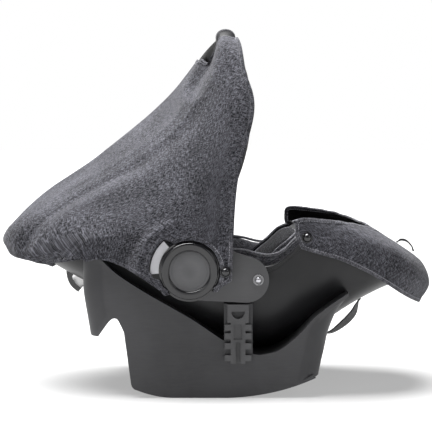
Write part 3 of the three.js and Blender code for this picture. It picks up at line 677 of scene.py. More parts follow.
def base_tub(name, inset, spare):
    """The base as a solid block with round corners; spare is how far it runs past both ends."""
    heights = [-5 - spare] + list(np.linspace(0, 214, 30)) + [220 + spare]
    radius = 34 - inset
    side = 182 - inset
    rings = []
    for z in heights:
        back, front = base_back(z), base_front(z)
        x_front, x_back, y_side = front - inset - radius, back + inset + radius, side - radius
        corners = [(x_front, y_side, 0), (x_back, y_side, 90),
                   (x_back, -y_side, 180), (x_front, -y_side, 270)]
        rings.append([((x + radius * math.cos(math.radians(a))) * MM,
                       (y + radius * math.sin(math.radians(a))) * MM, z * MM)
                      for x, y, start in corners for a in np.linspace(start, start + 90, 13)])
    return loft(name, rings, None)


def bowl_envelope():
    """The bowl with half a millimetre round it and everything above it."""
    xs = stations(50)
    turns = np.linspace(-90, 90, 31)
    rings = []
    for x in xs:
        ring = [bowl_point(x, turn, -0.5) for turn in turns]
        rise = np.array([0, 0, 0.08])
        rings.append(ring + [ring[-1] + rise, ring[0] + rise])
    return loft("envelope", rings, None)


def rocker_base():
    """The base: a hollow block cut to the skirts' outline, with its ledge, foot flange and pillars."""
    wall = base_tub("rocker_base_skin", 0, 0)
    top_edge = [tuple(p) for p in spline(SKIRT_TOP, 60)]
    ledge_outline = metres(top_edge + [(x, z - 6) for x, z in reversed(top_edge)])
    upper = [(-119, 11.5)] + quadratic((-119, 11.5), (-90, 0), (-62, 0)) + [(18, 0)]
    upper += quadratic((18, 0), (90, 2), (150, 30), 16)
    lower = [(146, 34)] + quadratic((146, 34), (90, 6), (18, 4), 16) + [(-62, 4)]
    lower += quadratic((-62, 4), (-90, 4), (-119, 15.5))
    flange_outline = metres(upper + lower)

    ledge = combine(prism("ledge", ledge_outline, -0.18, 0.18),
                    [("DIFFERENCE", block("b", (-0.3, -0.07, 0), (0.3, 0.07, 0.3)))])
    flange = combine(prism("flange", flange_outline, -0.181, 0.181),
                     [("DIFFERENCE", block("b", (-0.2, -0.166, -0.01), (0.22, 0.166, 0.06)))])
    pillar = combine(block("pillar", (0.012, -0.1815, 0.045), (0.055, 0.1815, 0.142)),
                     [("DIFFERENCE", block("b", (0, -0.16, 0), (0.07, 0.16, 0.2)))])
    strap_slot = block("slot", (0.15, -0.022, 0.07), (0.2, 0.022, 0.084))
    combine(wall, [("DIFFERENCE", base_tub("inner", 4, 2)),
                   ("INTERSECT", prism("outline", skirt_outline(), -0.2, 0.2)),
                   ("UNION", ledge), ("UNION", flange), ("UNION", pillar),
                   ("DIFFERENCE", bowl_envelope()), ("DIFFERENCE", rear_arch()),
                   ("DIFFERENCE", strap_slot)])
    wall.name = "rocker_base_skirt"
    set_material(wall, skirt_plastic)
    soften(wall, 1.2 * MM, 3)
    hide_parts("rocker_base")
    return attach(wall, "shell")


def rear_arch():
    """The low arch through the rear wall of the base."""
    turns = np.linspace(0, 2 * math.pi, 49)[:-1]
    rings = [[(x, 0.125 * math.cos(a), 0.09 + 0.034 * math.sin(a)) for a in turns]
             for x in (-0.215, -0.175)]
    return loft("arch", rings, None)


# ---- the handle --------------------------------------------------------------------------------

HANDLE_LINE = [
    (12, -206, 24), (33, -206, 68), (48, -206, 116), (68, -205, 176),
    (76, -198, 236), (71, -172, 287), (57, -130, 322), (54, -75, 349),
]
arm_width = through([(0, 15), (120, 15), (200, 15.5), (206, 16)])
arm_thickness = through([(0, 12.5), (90, 12), (150, 9), (200, 6.5), (206, 6.4)])


def handle_curve(count):
    right = [np.array(p, float) for p in HANDLE_LINE]
    whole = right + [np.array([54.0, 0, 352])] + [p * [1, -1, 1] for p in reversed(right)]
    path = even(spline(whole, 400), count)
    return path + np.array([HUB.x, 0, HUB.z]) / MM


def handle_bar(name, size_at, material, keep=lambda p: True, count=150, sides=28, fullness=2.4, **options):
    """A bar along the handle's curve; size_at(y) gives its half width and half thickness."""
    path = handle_curve(count)
    tangents = np.gradient(path, axis=0)
    rings, uvs = [], []
    run = 0.0
    for i, (centre, tangent) in enumerate(zip(path, tangents)):
        if not keep(centre):
            continue
        tangent = tangent / np.linalg.norm(tangent)
        wide = np.array([1.0, 0, 0]) - tangent * tangent[0]
        wide /= np.linalg.norm(wide)
        thick = np.cross(tangent, wide)
        a, b = size_at(abs(centre[1]))
        ring = []
        for k in range(sides):
            angle = 2 * math.pi * k / sides
            c, s = math.cos(angle), math.sin(angle)
            c = math.copysign(abs(c) ** (2 / fullness), c)
            s = math.copysign(abs(s) ** (2 / fullness), s)
            ring.append((centre + wide * a * c + thick * b * s) * MM)
            uvs.append((run, angle * 14 * MM))
        rings.append(ring)
        run += np.linalg.norm(path[min(i + 1, count)] - centre) * MM
    return loft(name, rings, material, uvs, **options)


def handle_bow():
    """The bow with its hub housings, each with a recess that its release button slides in."""
    def size(y):
        return (11.5, 9.5) if y < 73.5 else (arm_width(y), arm_thickness(y))

    bow = handle_bar("handle_bow_arms", size, dark_plastic_and_shade, crease_angle=45)
    profile = [(0, 200), (41, 200), (42, 201), (42, 212), (41, 213), (0, 213)]
    sector = [(r, a) for r, angles in ((35.5, np.linspace(127, 189, 21)), (60, np.linspace(189, 127, 21)))
              for a in angles]
    recess = [(HUB.x + r * MM * math.cos(math.radians(a)), HUB.z + r * MM * math.sin(math.radians(a)))
              for r, a in sector]
    cuts = []
    for side in (-1, 1):
        hub = turned("hub", metres(profile), HUB_PLACE, side, None, 120)
        cuts.append(("UNION", hub))
        cuts.append(("DIFFERENCE", prism("recess", recess, side * 203 * MM, side * 218 * MM)))
    combine(bow, cuts)
    set_material(bow, dark_plastic_and_shade)
    soften(bow, 0.8 * MM, 2, 40)
    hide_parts("handle_bow")
    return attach(bow, "handle")


def grip():
    """The sleeve on the middle of the bow, with round ends."""
    def swell(y):
        rise = 2.1 * max(min((72 - y) / 7, 1.0), 0) ** 0.5
        return 13.4 + rise, 11.4 + rise

    sleeve = handle_bar("grip_sleeve_foam", swell, grip_fabric, lambda p: abs(p[1]) < 71.9, 420, 36, 2.1,
                        crease_angle=60)
    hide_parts("grip_sleeve")
    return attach(sleeve, "handle")


def hub_covers():
    """The glossy ring round each hub with its thin flange, and the grained disc inside it."""
    ring_profile = [(30.4, 212.9), (45.0, 212.9), (45.5, 213.3), (45.5, 214.2), (45.0, 214.6),
                    (42.6, 214.9), (42.2, 215.4), (41.9, 218.6), (41.2, 219.8), (40.0, 220.4),
                    (38.6, 220.5), (33.0, 220.5), (31.6, 220.2), (30.7, 219.4), (30.4, 218.2)]
    disc_profile = [(0, 213.3), (29.9, 213.3), (29.9, 218.4), (29.5, 219.0), (28.8, 219.3),
                    (27.0, 219.35), (26.6, 219.0), (26.2, 219.0), (25.8, 219.4), (14, 219.9), (0, 220.1)]

    def cover(side, suffix):
        ring = turned(f"hub_ring_cover_{suffix}", metres(ring_profile), HUB_PLACE, side, gloss_plastic, 128)
        disc = turned(f"hub_disc_cover_{suffix}", metres(disc_profile), HUB_PLACE, side, hub_plastic, 128)
        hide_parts(f"hub_ring_{suffix}")
        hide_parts(f"hub_disc_{suffix}")
        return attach(ring, "handle"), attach(disc, "handle")

    return both_sides(cover)


# (radius, height) of a snap's cap, and of an ear plate's rivet: its rolled rim and its dome
SNAP_PROFILE = [(0, 0), (8.1, 0), (8.4, 0.9), (7.9, 1.8), (7.0, 2.1), (6.3, 1.7), (6.0, 2.2), (5.2, 3.9),
                (3.6, 5.2), (1.8, 5.8), (0, 6.0)]
RIVET_RIM_PROFILE = [(0, 0), (8.0, 0), (8.2, 0.8), (7.6, 2.2), (6.6, 2.6), (6.0, 2.0), (5.8, 1.0), (0, 1.0)]
RIVET_DOME_PROFILE = [(0, 0.9), (4.3, 0.9), (4.2, 1.8), (3.4, 3.0), (2.0, 3.7), (0, 4.0)]


def press_studs():
    """The snaps of the canopy and of the leg cover, and the rivets of the ear plates."""
    def stud(name, place, side, suffix, profile, material):
        rings = [(max(a, 0.02) * MM, (abs(place[1]) + b) * MM) for a, b in profile]
        centre = Vector((place[0], 0, place[2])) * MM
        piece = turned(f"{name}_{suffix}", rings, centre, side, material, 48, 30)
        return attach(piece, "shell")

    def studs(side, suffix):
        leg_snap = stud("leg_cover_snap_cap", (135, 198, 242), side, suffix, SNAP_PROFILE, gloss_plastic)
        canopy_snap = stud("canopy_snap_cap", (14, 220, 193), side, suffix, SNAP_PROFILE, gloss_plastic)
        rivet_place = (63, 196.3, 179)
        rim = stud("ear_rivet_rim", rivet_place, side, suffix, RIVET_RIM_PROFILE, rivet_plastic)
        stud("ear_rivet_dome", rivet_place, side, suffix, RIVET_DOME_PROFILE, steel)
        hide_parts(f"leg_cover_snap_{suffix}")
        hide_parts(f"canopy_snap_{suffix}")
        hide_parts(f"ear_stud_{suffix}")

    both_sides(studs)


# ---- cloth sheets ------------------------------------------------------------------------------

FABRIC = 2 * MM

# Columns of control points from the right edge to the middle, in millimetres: for the canopy each
# runs from its front edge to its rear hem, for the leg cover from its opening to its hem.
CANOPY_NET = [
    [(22, -217, 180), (-10, -217, 160), (-40, -217, 148), (-75, -213, 162), (-118, -202, 190),
     (-160, -190, 208), (-198, -187, 211)],
    [(30, -218, 320), (0, -217, 303), (-35, -215, 285), (-85, -209, 262), (-140, -199, 248),
     (-190, -190, 238), (-227, -173, 205)],
    [(55, -216, 430), (18, -213, 398), (-40, -193, 358), (-110, -176, 322), (-185, -163, 290),
     (-240, -156, 255), (-272, -142, 216), (-252, -140, 201)],
    [(43, -195, 488), (8, -191, 464), (-48, -168, 395), (-120, -150, 344), (-200, -136, 303),
     (-268, -132, 256), (-294, -118, 216), (-280, -116, 203), (-250, -112, 199)],
    [(36, -148, 532), (-2, -144, 526), (-64, -125, 422), (-145, -108, 358), (-230, -95, 308),
     (-312, -94, 254), (-318, -84, 213), (-290, -84, 202), (-254, -80, 194)],
    [(26, 0, 556), (-8, 0, 536), (-80, 0, 450), (-186, 0, 362), (-280, 0, 297), (-337, 0, 236),
     (-327, 0, 210), (-298, 0, 201), (-258, 0, 188)],
]

LEG_COVER_NET = [
    [(119, -192, 250), (120, -193, 244), (122, -194, 238), (125, -194, 232), (128, -193, 226)],
    [(124, -191, 269), (133, -194, 257), (140, -195, 245), (147, -195, 232), (151, -193, 219)],
    [(165, -184, 267), (178, -189, 250), (187, -190, 236), (191, -189, 221), (192, -187, 206)],
    [(201, -162, 261), (229, -171, 245), (246, -174, 225), (247, -171, 203), (238, -165, 183)],
    [(238, -100, 250), (274, -117, 228), (303, -124, 202), (307, -122, 174), (290, -118, 149)],
    [(256, 0, 240), (293, 0, 216), (328, 0, 191), (341, 0, 157), (326, 0, 128)],
]


def smoothstep(low, high, value):
    t = np.clip((value - low) / (high - low), 0, 1)
    return t * t * (3 - 2 * t)


def noise_grid(coordinates):
    flat = coordinates.reshape(-1, 3)
    values = np.array([noise.noise(Vector(p)) for p in flat])
    return values.reshape(coordinates.shape[:-1])


def pinched(values, sharpness=3.0):
    """Turns smooth noise into narrow ridges, as tension lines in cloth."""
    return np.clip(1 - 2.2 * np.abs(values), 0, 1) ** sharpness


def stretched_noise(across, along, seed, across_scale, along_scale):
    """Smooth noise with its own scale in each direction; seed picks the pattern."""
    stacked = np.stack([across * across_scale, along * along_scale, np.full(across.shape, seed)], axis=-1)
    return noise_grid(stacked)


def canopy_folds(grid):
    """How far the canopy's cloth stands out from its smooth shape, in metres."""
    u, v = grid_shares(grid)
    side = np.abs(v)
    x, y, z = grid[..., 0], grid[..., 1], grid[..., 2]
    around = np.arctan2(z - HUB.z, x - HUB.x)
    reach = np.hypot(x - HUB.x, z - HUB.z)
    half = np.sign(y) * 5.0     # gives the two sides different folds

    body = smoothstep(0.05, 0.2, u)
    along_ridge = stretched_noise(v, u, 1.3, 13, 1.2)
    folds = 1.5 * MM * body * along_ridge * smoothstep(0.72, 0.4, side)
    folds += 1.1 * MM * body * pinched(stretched_noise(v, u, 7.7, 9, 1.0)) * smoothstep(0.65, 0.3, side)

    gathers = stretched_noise(v, u, 3.1, 42, 2.2)
    folds += 3.4 * MM * gathers * smoothstep(0.76, 0.99, u)
    head = smoothstep(0.66, 0.86, u)
    folds += 1.3 * MM * head * pinched(stretched_noise(v + 0.25 * u, u, 9.2, 18, 1.6), 2)

    near_hub = np.exp(-np.clip(reach - 46 * MM, 0, None) / (55 * MM))
    spokes = stretched_noise(around, reach + half, 4.4, 5.5, 4)
    folds += 1.3 * MM * near_hub * spokes * smoothstep(0.6, 0.8, side)
    slack = stretched_noise(x * 9 + z * 6, z * 3 + half, 2.2, 1, 1)
    folds += 1.6 * MM * slack * body * smoothstep(0.35, 0.6, side)
    fine = noise_grid(np.stack([x * 45, y * 45, z * 45], axis=-1))
    return folds + 0.25 * MM * fine


def hand_dip(grid):
    """Lets the canopy sink beside the hand opening, between the grip and the ridge."""
    x, y, z = np.moveaxis(grid / MM, -1, 0)
    depth = 31 * MM * smoothstep(8, -10, x) * smoothstep(-58, -22, x) * smoothstep(440, 470, z)
    depth *= smoothstep(82, 104, np.abs(y)) * smoothstep(192, 130, np.abs(y))
    return grid - depth[..., None] * np.array([0, 0, 1])


def clear_of_buttons(grid):
    """Holds the canopy outside the path of the release buttons as the handle swings."""
    reach = np.hypot(grid[..., 0] - HUB.x, grid[..., 2] - HUB.z)
    least = 216.6 * MM - 0.9 * np.clip(reach - 76 * MM, 0, None)
    side = grid[..., 1]
    grid[..., 1] = np.sign(side) * np.maximum(np.abs(side), np.where(reach < 0.12, least, 0))
    return grid


def hub_opening(p):
    """Negative where the canopy is cut away round a hub; wider round the release button."""
    dx, dz = p[..., 0] - HUB.x, p[..., 2] - HUB.z
    angle = np.arctan2(dz, dx)
    away = np.abs(np.angle(np.exp(1j * (angle - math.radians(158)))))
    radius = (46.6 + 14.6 * smoothstep(math.radians(42), math.radians(28), away)) * MM
    beside = np.where(np.abs(p[..., 1]) > 0.15, 0, 1.0)
    return np.hypot(dx, dz) - radius + beside


def grip_opening(p):
    """Negative where the canopy is cut away round the grip."""
    across = np.clip(np.abs(p[..., 1]) / (114 * MM), 0, 1.3)
    back = (-29 + 66 * across ** 8) * MM
    low = np.where(p[..., 2] < 0.47, 1.0, 0)
    return back - p[..., 0] + low


def trimmed(points, faces, opening):
    """Drops the faces inside an opening and draws the cut vertices on to its edge."""
    inside = opening(points) < 0
    kept = [f for f in faces if not all(inside[i] for i in f)]
    used = sorted({i for f in kept for i in f})
    to_move = [i for i in used if inside[i]]
    normals = vertex_normals(points, faces)
    moving = points[to_move]
    step = 0.2 * MM
    for _ in range(8):
        value = opening(moving)
        slope = np.stack([(opening(moving + step * axis) - value) / step for axis in np.eye(3)], axis=1)
        n = normals[to_move]
        slope -= n * np.sum(slope * n, axis=1, keepdims=True)
        size = np.maximum(np.sum(slope * slope, axis=1), 0.05)
        shift = -(value / size)[:, None] * slope
        length = np.maximum(np.linalg.norm(shift, axis=1, keepdims=True), 1e-9)
        moving = moving + shift * np.minimum(1, 3 * MM / length)
    points = points.copy()
    points[to_move] = moving
    return points, kept


def vertex_normals(points, faces):
    """Unit normals at the points of a mesh of four-sided faces."""
    normals = np.zeros_like(points)
    quads = np.array([f for f in faces if len(f) == 4])
    n = np.cross(points[quads[:, 2]] - points[quads[:, 0]], points[quads[:, 3]] - points[quads[:, 1]])
    for k in range(4):
        np.add.at(normals, quads[:, k], n)
    return unit(normals)


def compact(points, faces, extra):
    """The mesh without the points that no face uses; extra is a row for each point."""
    used = sorted({i for f in faces for i in f})
    place = {old: new for new, old in enumerate(used)}
    return points[used], [tuple(place[i] for i in f) for f in faces], extra[used]


def edge_loops(faces):
    """The boundary of an open mesh as ordered loops of vertex numbers."""
    count = {}
    for f in faces:
        for a, b in zip(f, f[1:] + f[:1]):
            key = (min(a, b), max(a, b))
            count[key] = count.get(key, 0) + 1
    neighbours = {}
    for (a, b), n in count.items():
        if n == 1:
            neighbours.setdefault(a, []).append(b)
            neighbours.setdefault(b, []).append(a)
    loops, left = [], set(neighbours)
    while left:
        start = min(left)
        loop, previous, current = [start], None, start
        left.discard(start)
        while True:
            following = [n for n in neighbours[current] if n != previous and n in left]
            if not following:
                break
            previous, current = current, following[0]
            loop.append(current)
            left.discard(current)
        loops.append(loop)
    return loops


def cloth_sheet(name, points, faces, uvs, outer, inner, thickness):
    """A sheet with its own face and lining, and thickness between them."""
    mesh = bpy.data.meshes.new(name)
    mesh.from_pydata([tuple(p) for p in points], [], faces)
    smooth_shading(mesh)
    lay_uvs(mesh, uvs)
    sheet = link(name, mesh, outer)
    mesh.materials.append(inner)
    modify(sheet, "SOLIDIFY", thickness=thickness, offset=0, use_even_offset=False, material_offset=1,
           material_offset_rim=0)
    apply_modifiers(sheet)
    return sheet


def faces_outward(points, faces, centre):
    """The faces turned so that they look away from centre."""
    quads = np.array([f for f in faces if len(f) == 4])
    n = np.cross(points[quads[:, 2]] - points[quads[:, 0]], points[quads[:, 3]] - points[quads[:, 1]])
    middle_points = points[quads].mean(axis=1)
    outwards = np.sum(n * (middle_points - np.array(centre)), axis=1).sum()
    return faces if outwards > 0 else [tuple(reversed(f)) for f in faces]


BINDING_WIDTH = 5.6 * MM


def binding(name, loop, points, faces, material):
    """Folded tape sewn over the edge of a sheet, along one loop of its edge."""
    normals, inward = loop_frames(loop, points, faces)
    w, h = BINDING_WIDTH / MM, FABRIC / 2 / MM
    section = [(-1.3, 0), (-1.0, h + 0.35), (0.2, h + 0.85), (w - 1.6, h + 0.75), (w - 1.2, h + 0.3),
               (w - 0.9, h + 0.7), (w - 0.2, h + 0.5), (w, h + 0.05), (w, -h - 0.05), (w - 0.6, -h - 0.6),
               (0.2, -h - 0.85), (-1.0, -h - 0.35)]
    vertices, uvs = [], []
    path = points[loop]
    run = along_path(path)
    for i in range(len(loop)):
        for m, n in section:
            vertices.append(path[i] + inward[i] * m * MM + normals[i] * n * MM)
            uvs.append((run[i], m * MM))
    return build(name, vertices, closed_rings(len(loop), len(section)), material, uvs, 60)


def loop_frames(loop, points, faces):
    """Normals and inward directions along an edge loop, smoothed."""
    normals = vertex_normals(points, faces)[loop]
    path = points[loop]
    inward = np.cross(normals, unit(np.roll(path, -1, axis=0) - np.roll(path, 1, axis=0)))
    neighbours = {i: [] for i in loop}
    for f in faces:
        for i in f:
            if i in neighbours:
                neighbours[i].append(np.mean([points[k] for k in f], axis=0))
    towards = np.array([np.mean(neighbours[i], axis=0) for i in loop]) - path
    inward *= np.sign(np.sum(inward * towards, axis=1, keepdims=True) + 1e-12)
    return unit(smooth_loop(normals, 6)), unit(smooth_loop(inward, 6))


CANOPY_CENTRE = (-0.1, 0, 0.2)
CANOPY_THREADS = (0.74, 0, 0.67)
LEG_COVER_CENTRE = (0.15, 0, 0.15)
LEG_COVER_THREADS = (0.2, 0, -1)


def weave_uvs(grid, ridge):
    """Thread coordinates: along a fixed direction, and round the shape from its ridge."""
    uvs = grid_uvs(grid)
    uvs[:, 0] = grid.reshape(-1, 3) @ (np.array(ridge) / np.linalg.norm(ridge))
    return uvs


def canopy():
    grid = hand_dip(mirrored_net(CANOPY_NET, 170, 280))
    uvs = weave_uvs(grid, CANOPY_THREADS)
    outward = outward_normals(grid, CANOPY_CENTRE)
    grid = clear_of_buttons(grid + outward * canopy_folds(grid)[..., None])
    points = grid.reshape(-1, 3)
    faces = grid_faces(grid.shape[0], grid.shape[1])
    for opening in (hub_opening, grip_opening):
        points, faces = trimmed(points, faces, opening)
    points, faces, uvs = compact(points, faces, uvs)
    faces = faces_outward(points, faces, CANOPY_CENTRE)
    sheet = cloth_sheet("canopy_cloth", points, faces, uvs, fabric, lining_and_shade_fabric, FABRIC)
    edges = []
    for number, loop in enumerate(edge_loops(faces)):
        if len(loop) < 40:      # a speck left by the trimming
            continue
        edge = binding(f"canopy_binding_{number}", loop, points, faces, hem_fabric)
        edge.data.materials.append(fabric_band)
        for face in edge.data.polygons:
            x, y, z = face.center
            beside_hand = z > 0.47 and abs(y) < 0.13
            beside_hub = x > -0.005 and z < 0.235
            face.material_index = int(beside_hand or beside_hub)
        edges.append(edge)
    # the black sheet in the hand opening is painted shade
    edges.append(shade_sheet_in_hand_opening(grid, outward))
    for piece in [sheet, *edges]:
        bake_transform(piece)
    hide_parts("canopy")
    return sheet


def shade_sheet_in_hand_opening(grid, outward):
    """Painted shade: a black sheet behind the grip, closing the canopy's hand opening where its inside lies
    in shadow.
    """
    points = (grid - outward * 1.8 * MM).reshape(-1, 3)
    place = grid.reshape(-1, 3)
    inside = (grip_opening(place) < 4 * MM) & (place[:, 0] < 2.5 * MM) & (place[:, 2] > 0.47)
    faces = [f for f in grid_faces(grid.shape[0], grid.shape[1]) if all(inside[i] for i in f)]
    points, faces, uvs = compact(points, faces, grid_uvs(grid))
    faces = faces_outward(points, faces, CANOPY_CENTRE)
    return cloth_sheet("hand_opening_shade_sheet", points, faces, uvs, lining_and_shade_fabric, lining_and_shade_fabric, 1.0 * MM)


def leg_cover():
    grid = mirrored_net(LEG_COVER_NET, 60, 220)
    uvs = weave_uvs(grid, LEG_COVER_THREADS)
    grid = grid + outward_normals(grid, LEG_COVER_CENTRE) * leg_cover_folds(grid)[..., None]
    points = grid.reshape(-1, 3)
    faces = faces_outward(points, grid_faces(grid.shape[0], grid.shape[1]), LEG_COVER_CENTRE)
    sheet = cloth_sheet("leg_cover_cloth", points, faces, uvs, fabric, lining_and_shade_fabric, FABRIC)
    edges = [binding(f"leg_cover_binding_{number}", loop, points, faces, fabric_band)
             for number, loop in enumerate(edge_loops(faces))]
    for piece in [sheet, *edges]:
        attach(piece, "shell")
    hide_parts("leg_cover")
    return sheet


def leg_cover_folds(grid):
    """Creases that run from the snaps over the flaps, and gathers at the tip."""
    u, v = grid_shares(grid)
    side = np.abs(v)
    snap_x, snap_z = 0.135, 0.242
    dx, dz = grid[..., 0] - snap_x, grid[..., 2] - snap_z
    around = np.arctan2(dz, dx)
    reach = np.hypot(dx, dz)
    half = np.sign(grid[..., 1]) * 3.0
    spokes = pinched(stretched_noise(around, reach + half, 5.1, 5, 6), 2)
    folds = 1.4 * MM * spokes * np.exp(-reach / (90 * MM)) * smoothstep(6 * MM, 22 * MM, reach)
    folds += 1.5 * MM * stretched_noise(v, u, 6.6, 16, 1.8) * smoothstep(0.75, 0.3, side)
    folds += 0.8 * MM * noise_grid(grid * 22)
    return folds


# ---- padding -----------------------------------------------------------------------------------

collar_height = through([
    (-300, 6), (-100, 10), (-20, 19), (50, 18), (85, 12), (110, 2), (150, 2), (300, 3),
])
SEAT_PAD_INSETS = (15.6, 28)        # from the bowl's outer face, in millimetres
INSERT_INSETS = (28.8, 42)
HEAD_INSETS = (28.8, 52)


def lining_grid(inset, start, end, reach, collar):
    """A surface inside the bowl, from x start to end and reach degrees to each side of the keel."""
    xs = [x for x in stations(80) if start < x < end]
    turns = np.linspace(-reach, reach, 45)
    grid = []
    for x in xs:
        row = [bowl_point(x, turn, inset) for turn in turns]
        if collar is not None:
            lift = np.array([0, 0, collar(x) * MM])
            row = [row[0] + lift, row[0] + lift * 0.5, *row, row[-1] + lift * 0.5, row[-1] + lift]
        grid.append(row)
    return np.array(grid)


def slab(name, outer, inner, material):
    """A closed body between two grids."""
    rows, columns = outer.shape[:2]
    points = np.concatenate([outer.reshape(-1, 3), inner.reshape(-1, 3)])
    under = rows * columns
    faces = grid_faces(rows, columns)
    faces += [tuple(under + i for i in reversed(f)) for f in grid_faces(rows, columns)]
    for r in range(rows - 1):
        for c in (0, columns - 1):
            a, b = r * columns + c, (r + 1) * columns + c
            faces.append((a, b, under + b, under + a))
    for c in range(columns - 1):
        for r in (0, rows - 1):
            a, b = r * columns + c, r * columns + c + 1
            faces.append((a, b, under + b, under + a))
    return build(name, points, faces, material)


def coordinates_of(obj):
    flat = np.zeros(len(obj.data.vertices) * 3)
    obj.data.vertices.foreach_get("co", flat)
    return flat.reshape(-1, 3)


def set_coordinates(obj, points):
    obj.data.vertices.foreach_set("co", points.ravel())
    obj.data.update()


CLOTH_FRAMES = 20


def puff(obj, voxel, cap, hold, material):
    """Fills a padded piece by a short cloth simulation.

    hold(points) is 1 where it is sewn or lies on its support; no point moves further than cap.
    """
    modify(obj, "REMESH", mode="VOXEL", voxel_size=voxel)
    apply_modifiers(obj)
    start = coordinates_of(obj)
    held = hold(start)
    group = obj.vertex_groups.new(name="held")
    for i in np.nonzero(held > 0.01)[0]:
        group.add([int(i)], float(held[i]), "REPLACE")
    cloth = obj.modifiers.new("fill", "CLOTH")
    settings = cloth.settings
    settings.quality = 5
    settings.mass = 0.25
    settings.tension_stiffness = settings.compression_stiffness = 12
    settings.shear_stiffness = 6
    settings.bending_stiffness = 0.6
    settings.vertex_group_mass = "held"
    settings.use_pressure = True
    settings.uniform_pressure_force = 4.0
    settings.effector_weights.gravity = 0
    cloth.collision_settings.use_collision = False
    cloth.point_cache.frame_start, cloth.point_cache.frame_end = 1, CLOTH_FRAMES
    for number in range(1, CLOTH_FRAMES + 1):
        bpy.context.scene.frame_set(number)
    apply_modifiers(obj)
    bpy.context.scene.frame_set(1)
    shift = coordinates_of(obj) - start
    length = np.maximum(np.linalg.norm(shift, axis=1, keepdims=True), 1e-9)
    set_coordinates(obj, start + shift * np.minimum(1, cap / length))
    obj.vertex_groups.clear()
    set_material(obj, material)
    modify(obj, "SMOOTH", factor=0.5, iterations=3)
    modify(obj, "SUBSURF", levels=1, render_levels=1)
    apply_modifiers(obj)
    smooth_shading(obj.data)
    return obj


def near_lines(points, lines, width):
    """1 on the given polylines, falling to 0 at width away from them."""
    closest = np.full(len(points), 1e9)
    for line in lines:
        for a, b in zip(line[:-1], line[1:]):
            ab = b - a
            t = np.clip(((points - a) @ ab) / max(ab @ ab, 1e-12), 0, 1)
            closest = np.minimum(closest, np.linalg.norm(points - (a + t[:, None] * ab), axis=1))
    return np.clip(1 - closest / width, 0, 1)


def close_to(grid, reach):
    """hold() for a piece that lies on the grid of points: 1 where it is nearer than reach."""
    rows, columns = grid.shape[:2]
    tree = BVHTree.FromPolygons([tuple(p) for p in grid.reshape(-1, 3)], grid_faces(rows, columns))

    def hold(points):
        return np.array([1.0 if tree.find_nearest(Vector(p))[3] < reach else 0.0 for p in points])

    return hold


def seam_lines(inset, xs, turns_range, turns, x_range):
    """Seams across the padding at each x of xs, and along it at each turn of turns."""
    lines = [np.array([bowl_point(x, turn, inset) for turn in np.linspace(*turns_range, 31)]) for x in xs]
    lines += [np.array([bowl_point(x, turn, inset) for x in np.linspace(*x_range, 41)]) for turn in turns]
    return lines


def pad(name, node, insets, reach_x, reach_turn, seams, cap, material, collar=None):
    """A sewn cushion that lines the bowl between two insets."""
    outer, inner = (lining_grid(inset, *reach_x, reach_turn, collar) for inset in insets)
    body = slab(name, outer, inner, material)
    rests = close_to(outer, 3 * MM)

    def hold(points):
        return np.maximum(rests(points), near_lines(points, seams, 4 * MM))

    puff(body, 5 * MM, cap, hold, material)
    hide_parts(node)
    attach(body, "shell")
    return body


def seat_padding():
    inset = SEAT_PAD_INSETS[1]
    seams = seam_lines(inset, (-215, -165, 185, 225), (-60, 60), (), (0, 1))
    seams += seam_lines(inset, (), (0, 1), (-58, 58), (-265, 265))
    pad("seat_cushion", "seat_pad", SEAT_PAD_INSETS, (-285, 275), 90, seams, 6 * MM, pad_fabric,
        collar_height)
    seams = seam_lines(INSERT_INSETS[1], (-120, -60, 0, 60), (-48, 48), (-22, 22), (-165, 120))
    pad("infant_insert_cushion", "infant_insert", INSERT_INSETS, (-175, 130), 60, seams, 7 * MM,
        insert_fabric)
    seams = seam_lines(HEAD_INSETS[1], (-228,), (-20, 20), (-30, 30), (-265, -185))
    pad("head_support_cushion", "head_support", HEAD_INSETS, (-275, -178), 75, seams, 8 * MM,
        insert_fabric)


def pad_edges():
    """Piping round the top edge of the seat pad."""
    xs = [x for x in stations(90) if -283 < x < 273]
    for side, suffix in ((-1, "right"), (1, "left")):
        path = []
        for x in xs:
            outer, inner = (bowl_point(x, 90 * side, inset) for inset in SEAT_PAD_INSETS)
            lift = np.array([0, side * 4 * MM, collar_height(x) * MM + 2.5 * MM])
            path.append((outer + inner) / 2 + lift)
        bead = piping(f"seat_pad_piping_{suffix}", path, 2.2 * MM, piping_fabric, 10)
        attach(bead, "shell")


# ---- harness -----------------------------------------------------------------------------------

# Lines of the straps in millimetres, for the right side where there are two; then width and steps.
SHOULDER_LINE = [
    (-120, -42, 182), (-60, -46, 176), (10, -52, 186), (68, -60, 206), (102, -66, 234),
    (124, -62, 246), (130, -40, 228), (113, -19, 208),
]
STRAPS = {
    "crotch_strap": ([(147.5, 0, 122), (145.5, 0, 125.5), (143, 0, 129)], 30, 8),
    "under_strap": ([(-60, 0, 70), (0, 0, 52), (60, 0, 44), (110, 0, 52), (146, 0, 66)], 38, 40),
    "adjuster_tail": ([(158, 0, 74), (184, 0, 77), (206, 0, 92), (220, 0, 107), (226, 0, 121),
                       (231, 0, 133)], 38, 40),
    "hang_loop": ([(290, 0, 222), (297, 0, 226), (306, 0, 224), (314, 0, 216), (317, 0, 208)], 12, 32),
}


def mirror_y(points, side):
    """Points given for the right side, turned over for the left one."""
    return np.array(points, float) * np.array([1, -side, 1])


def straight_straps():
    for node, (line, width, count) in STRAPS.items():
        twist = 0.3 if node in ("adjuster_tail", "hang_loop") else 0.0

        def lean(i, twist=twist, count=count):
            return (twist * math.sin(math.pi * i / count), 1, -twist * math.sin(math.pi * i / count))

        path = spline(np.array(line) * MM, count)
        strap = ribbon(f"{node}_webbing", path, lean, width * MM, 2.2 * MM, webbing)
        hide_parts(node)
        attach(strap, "shell")


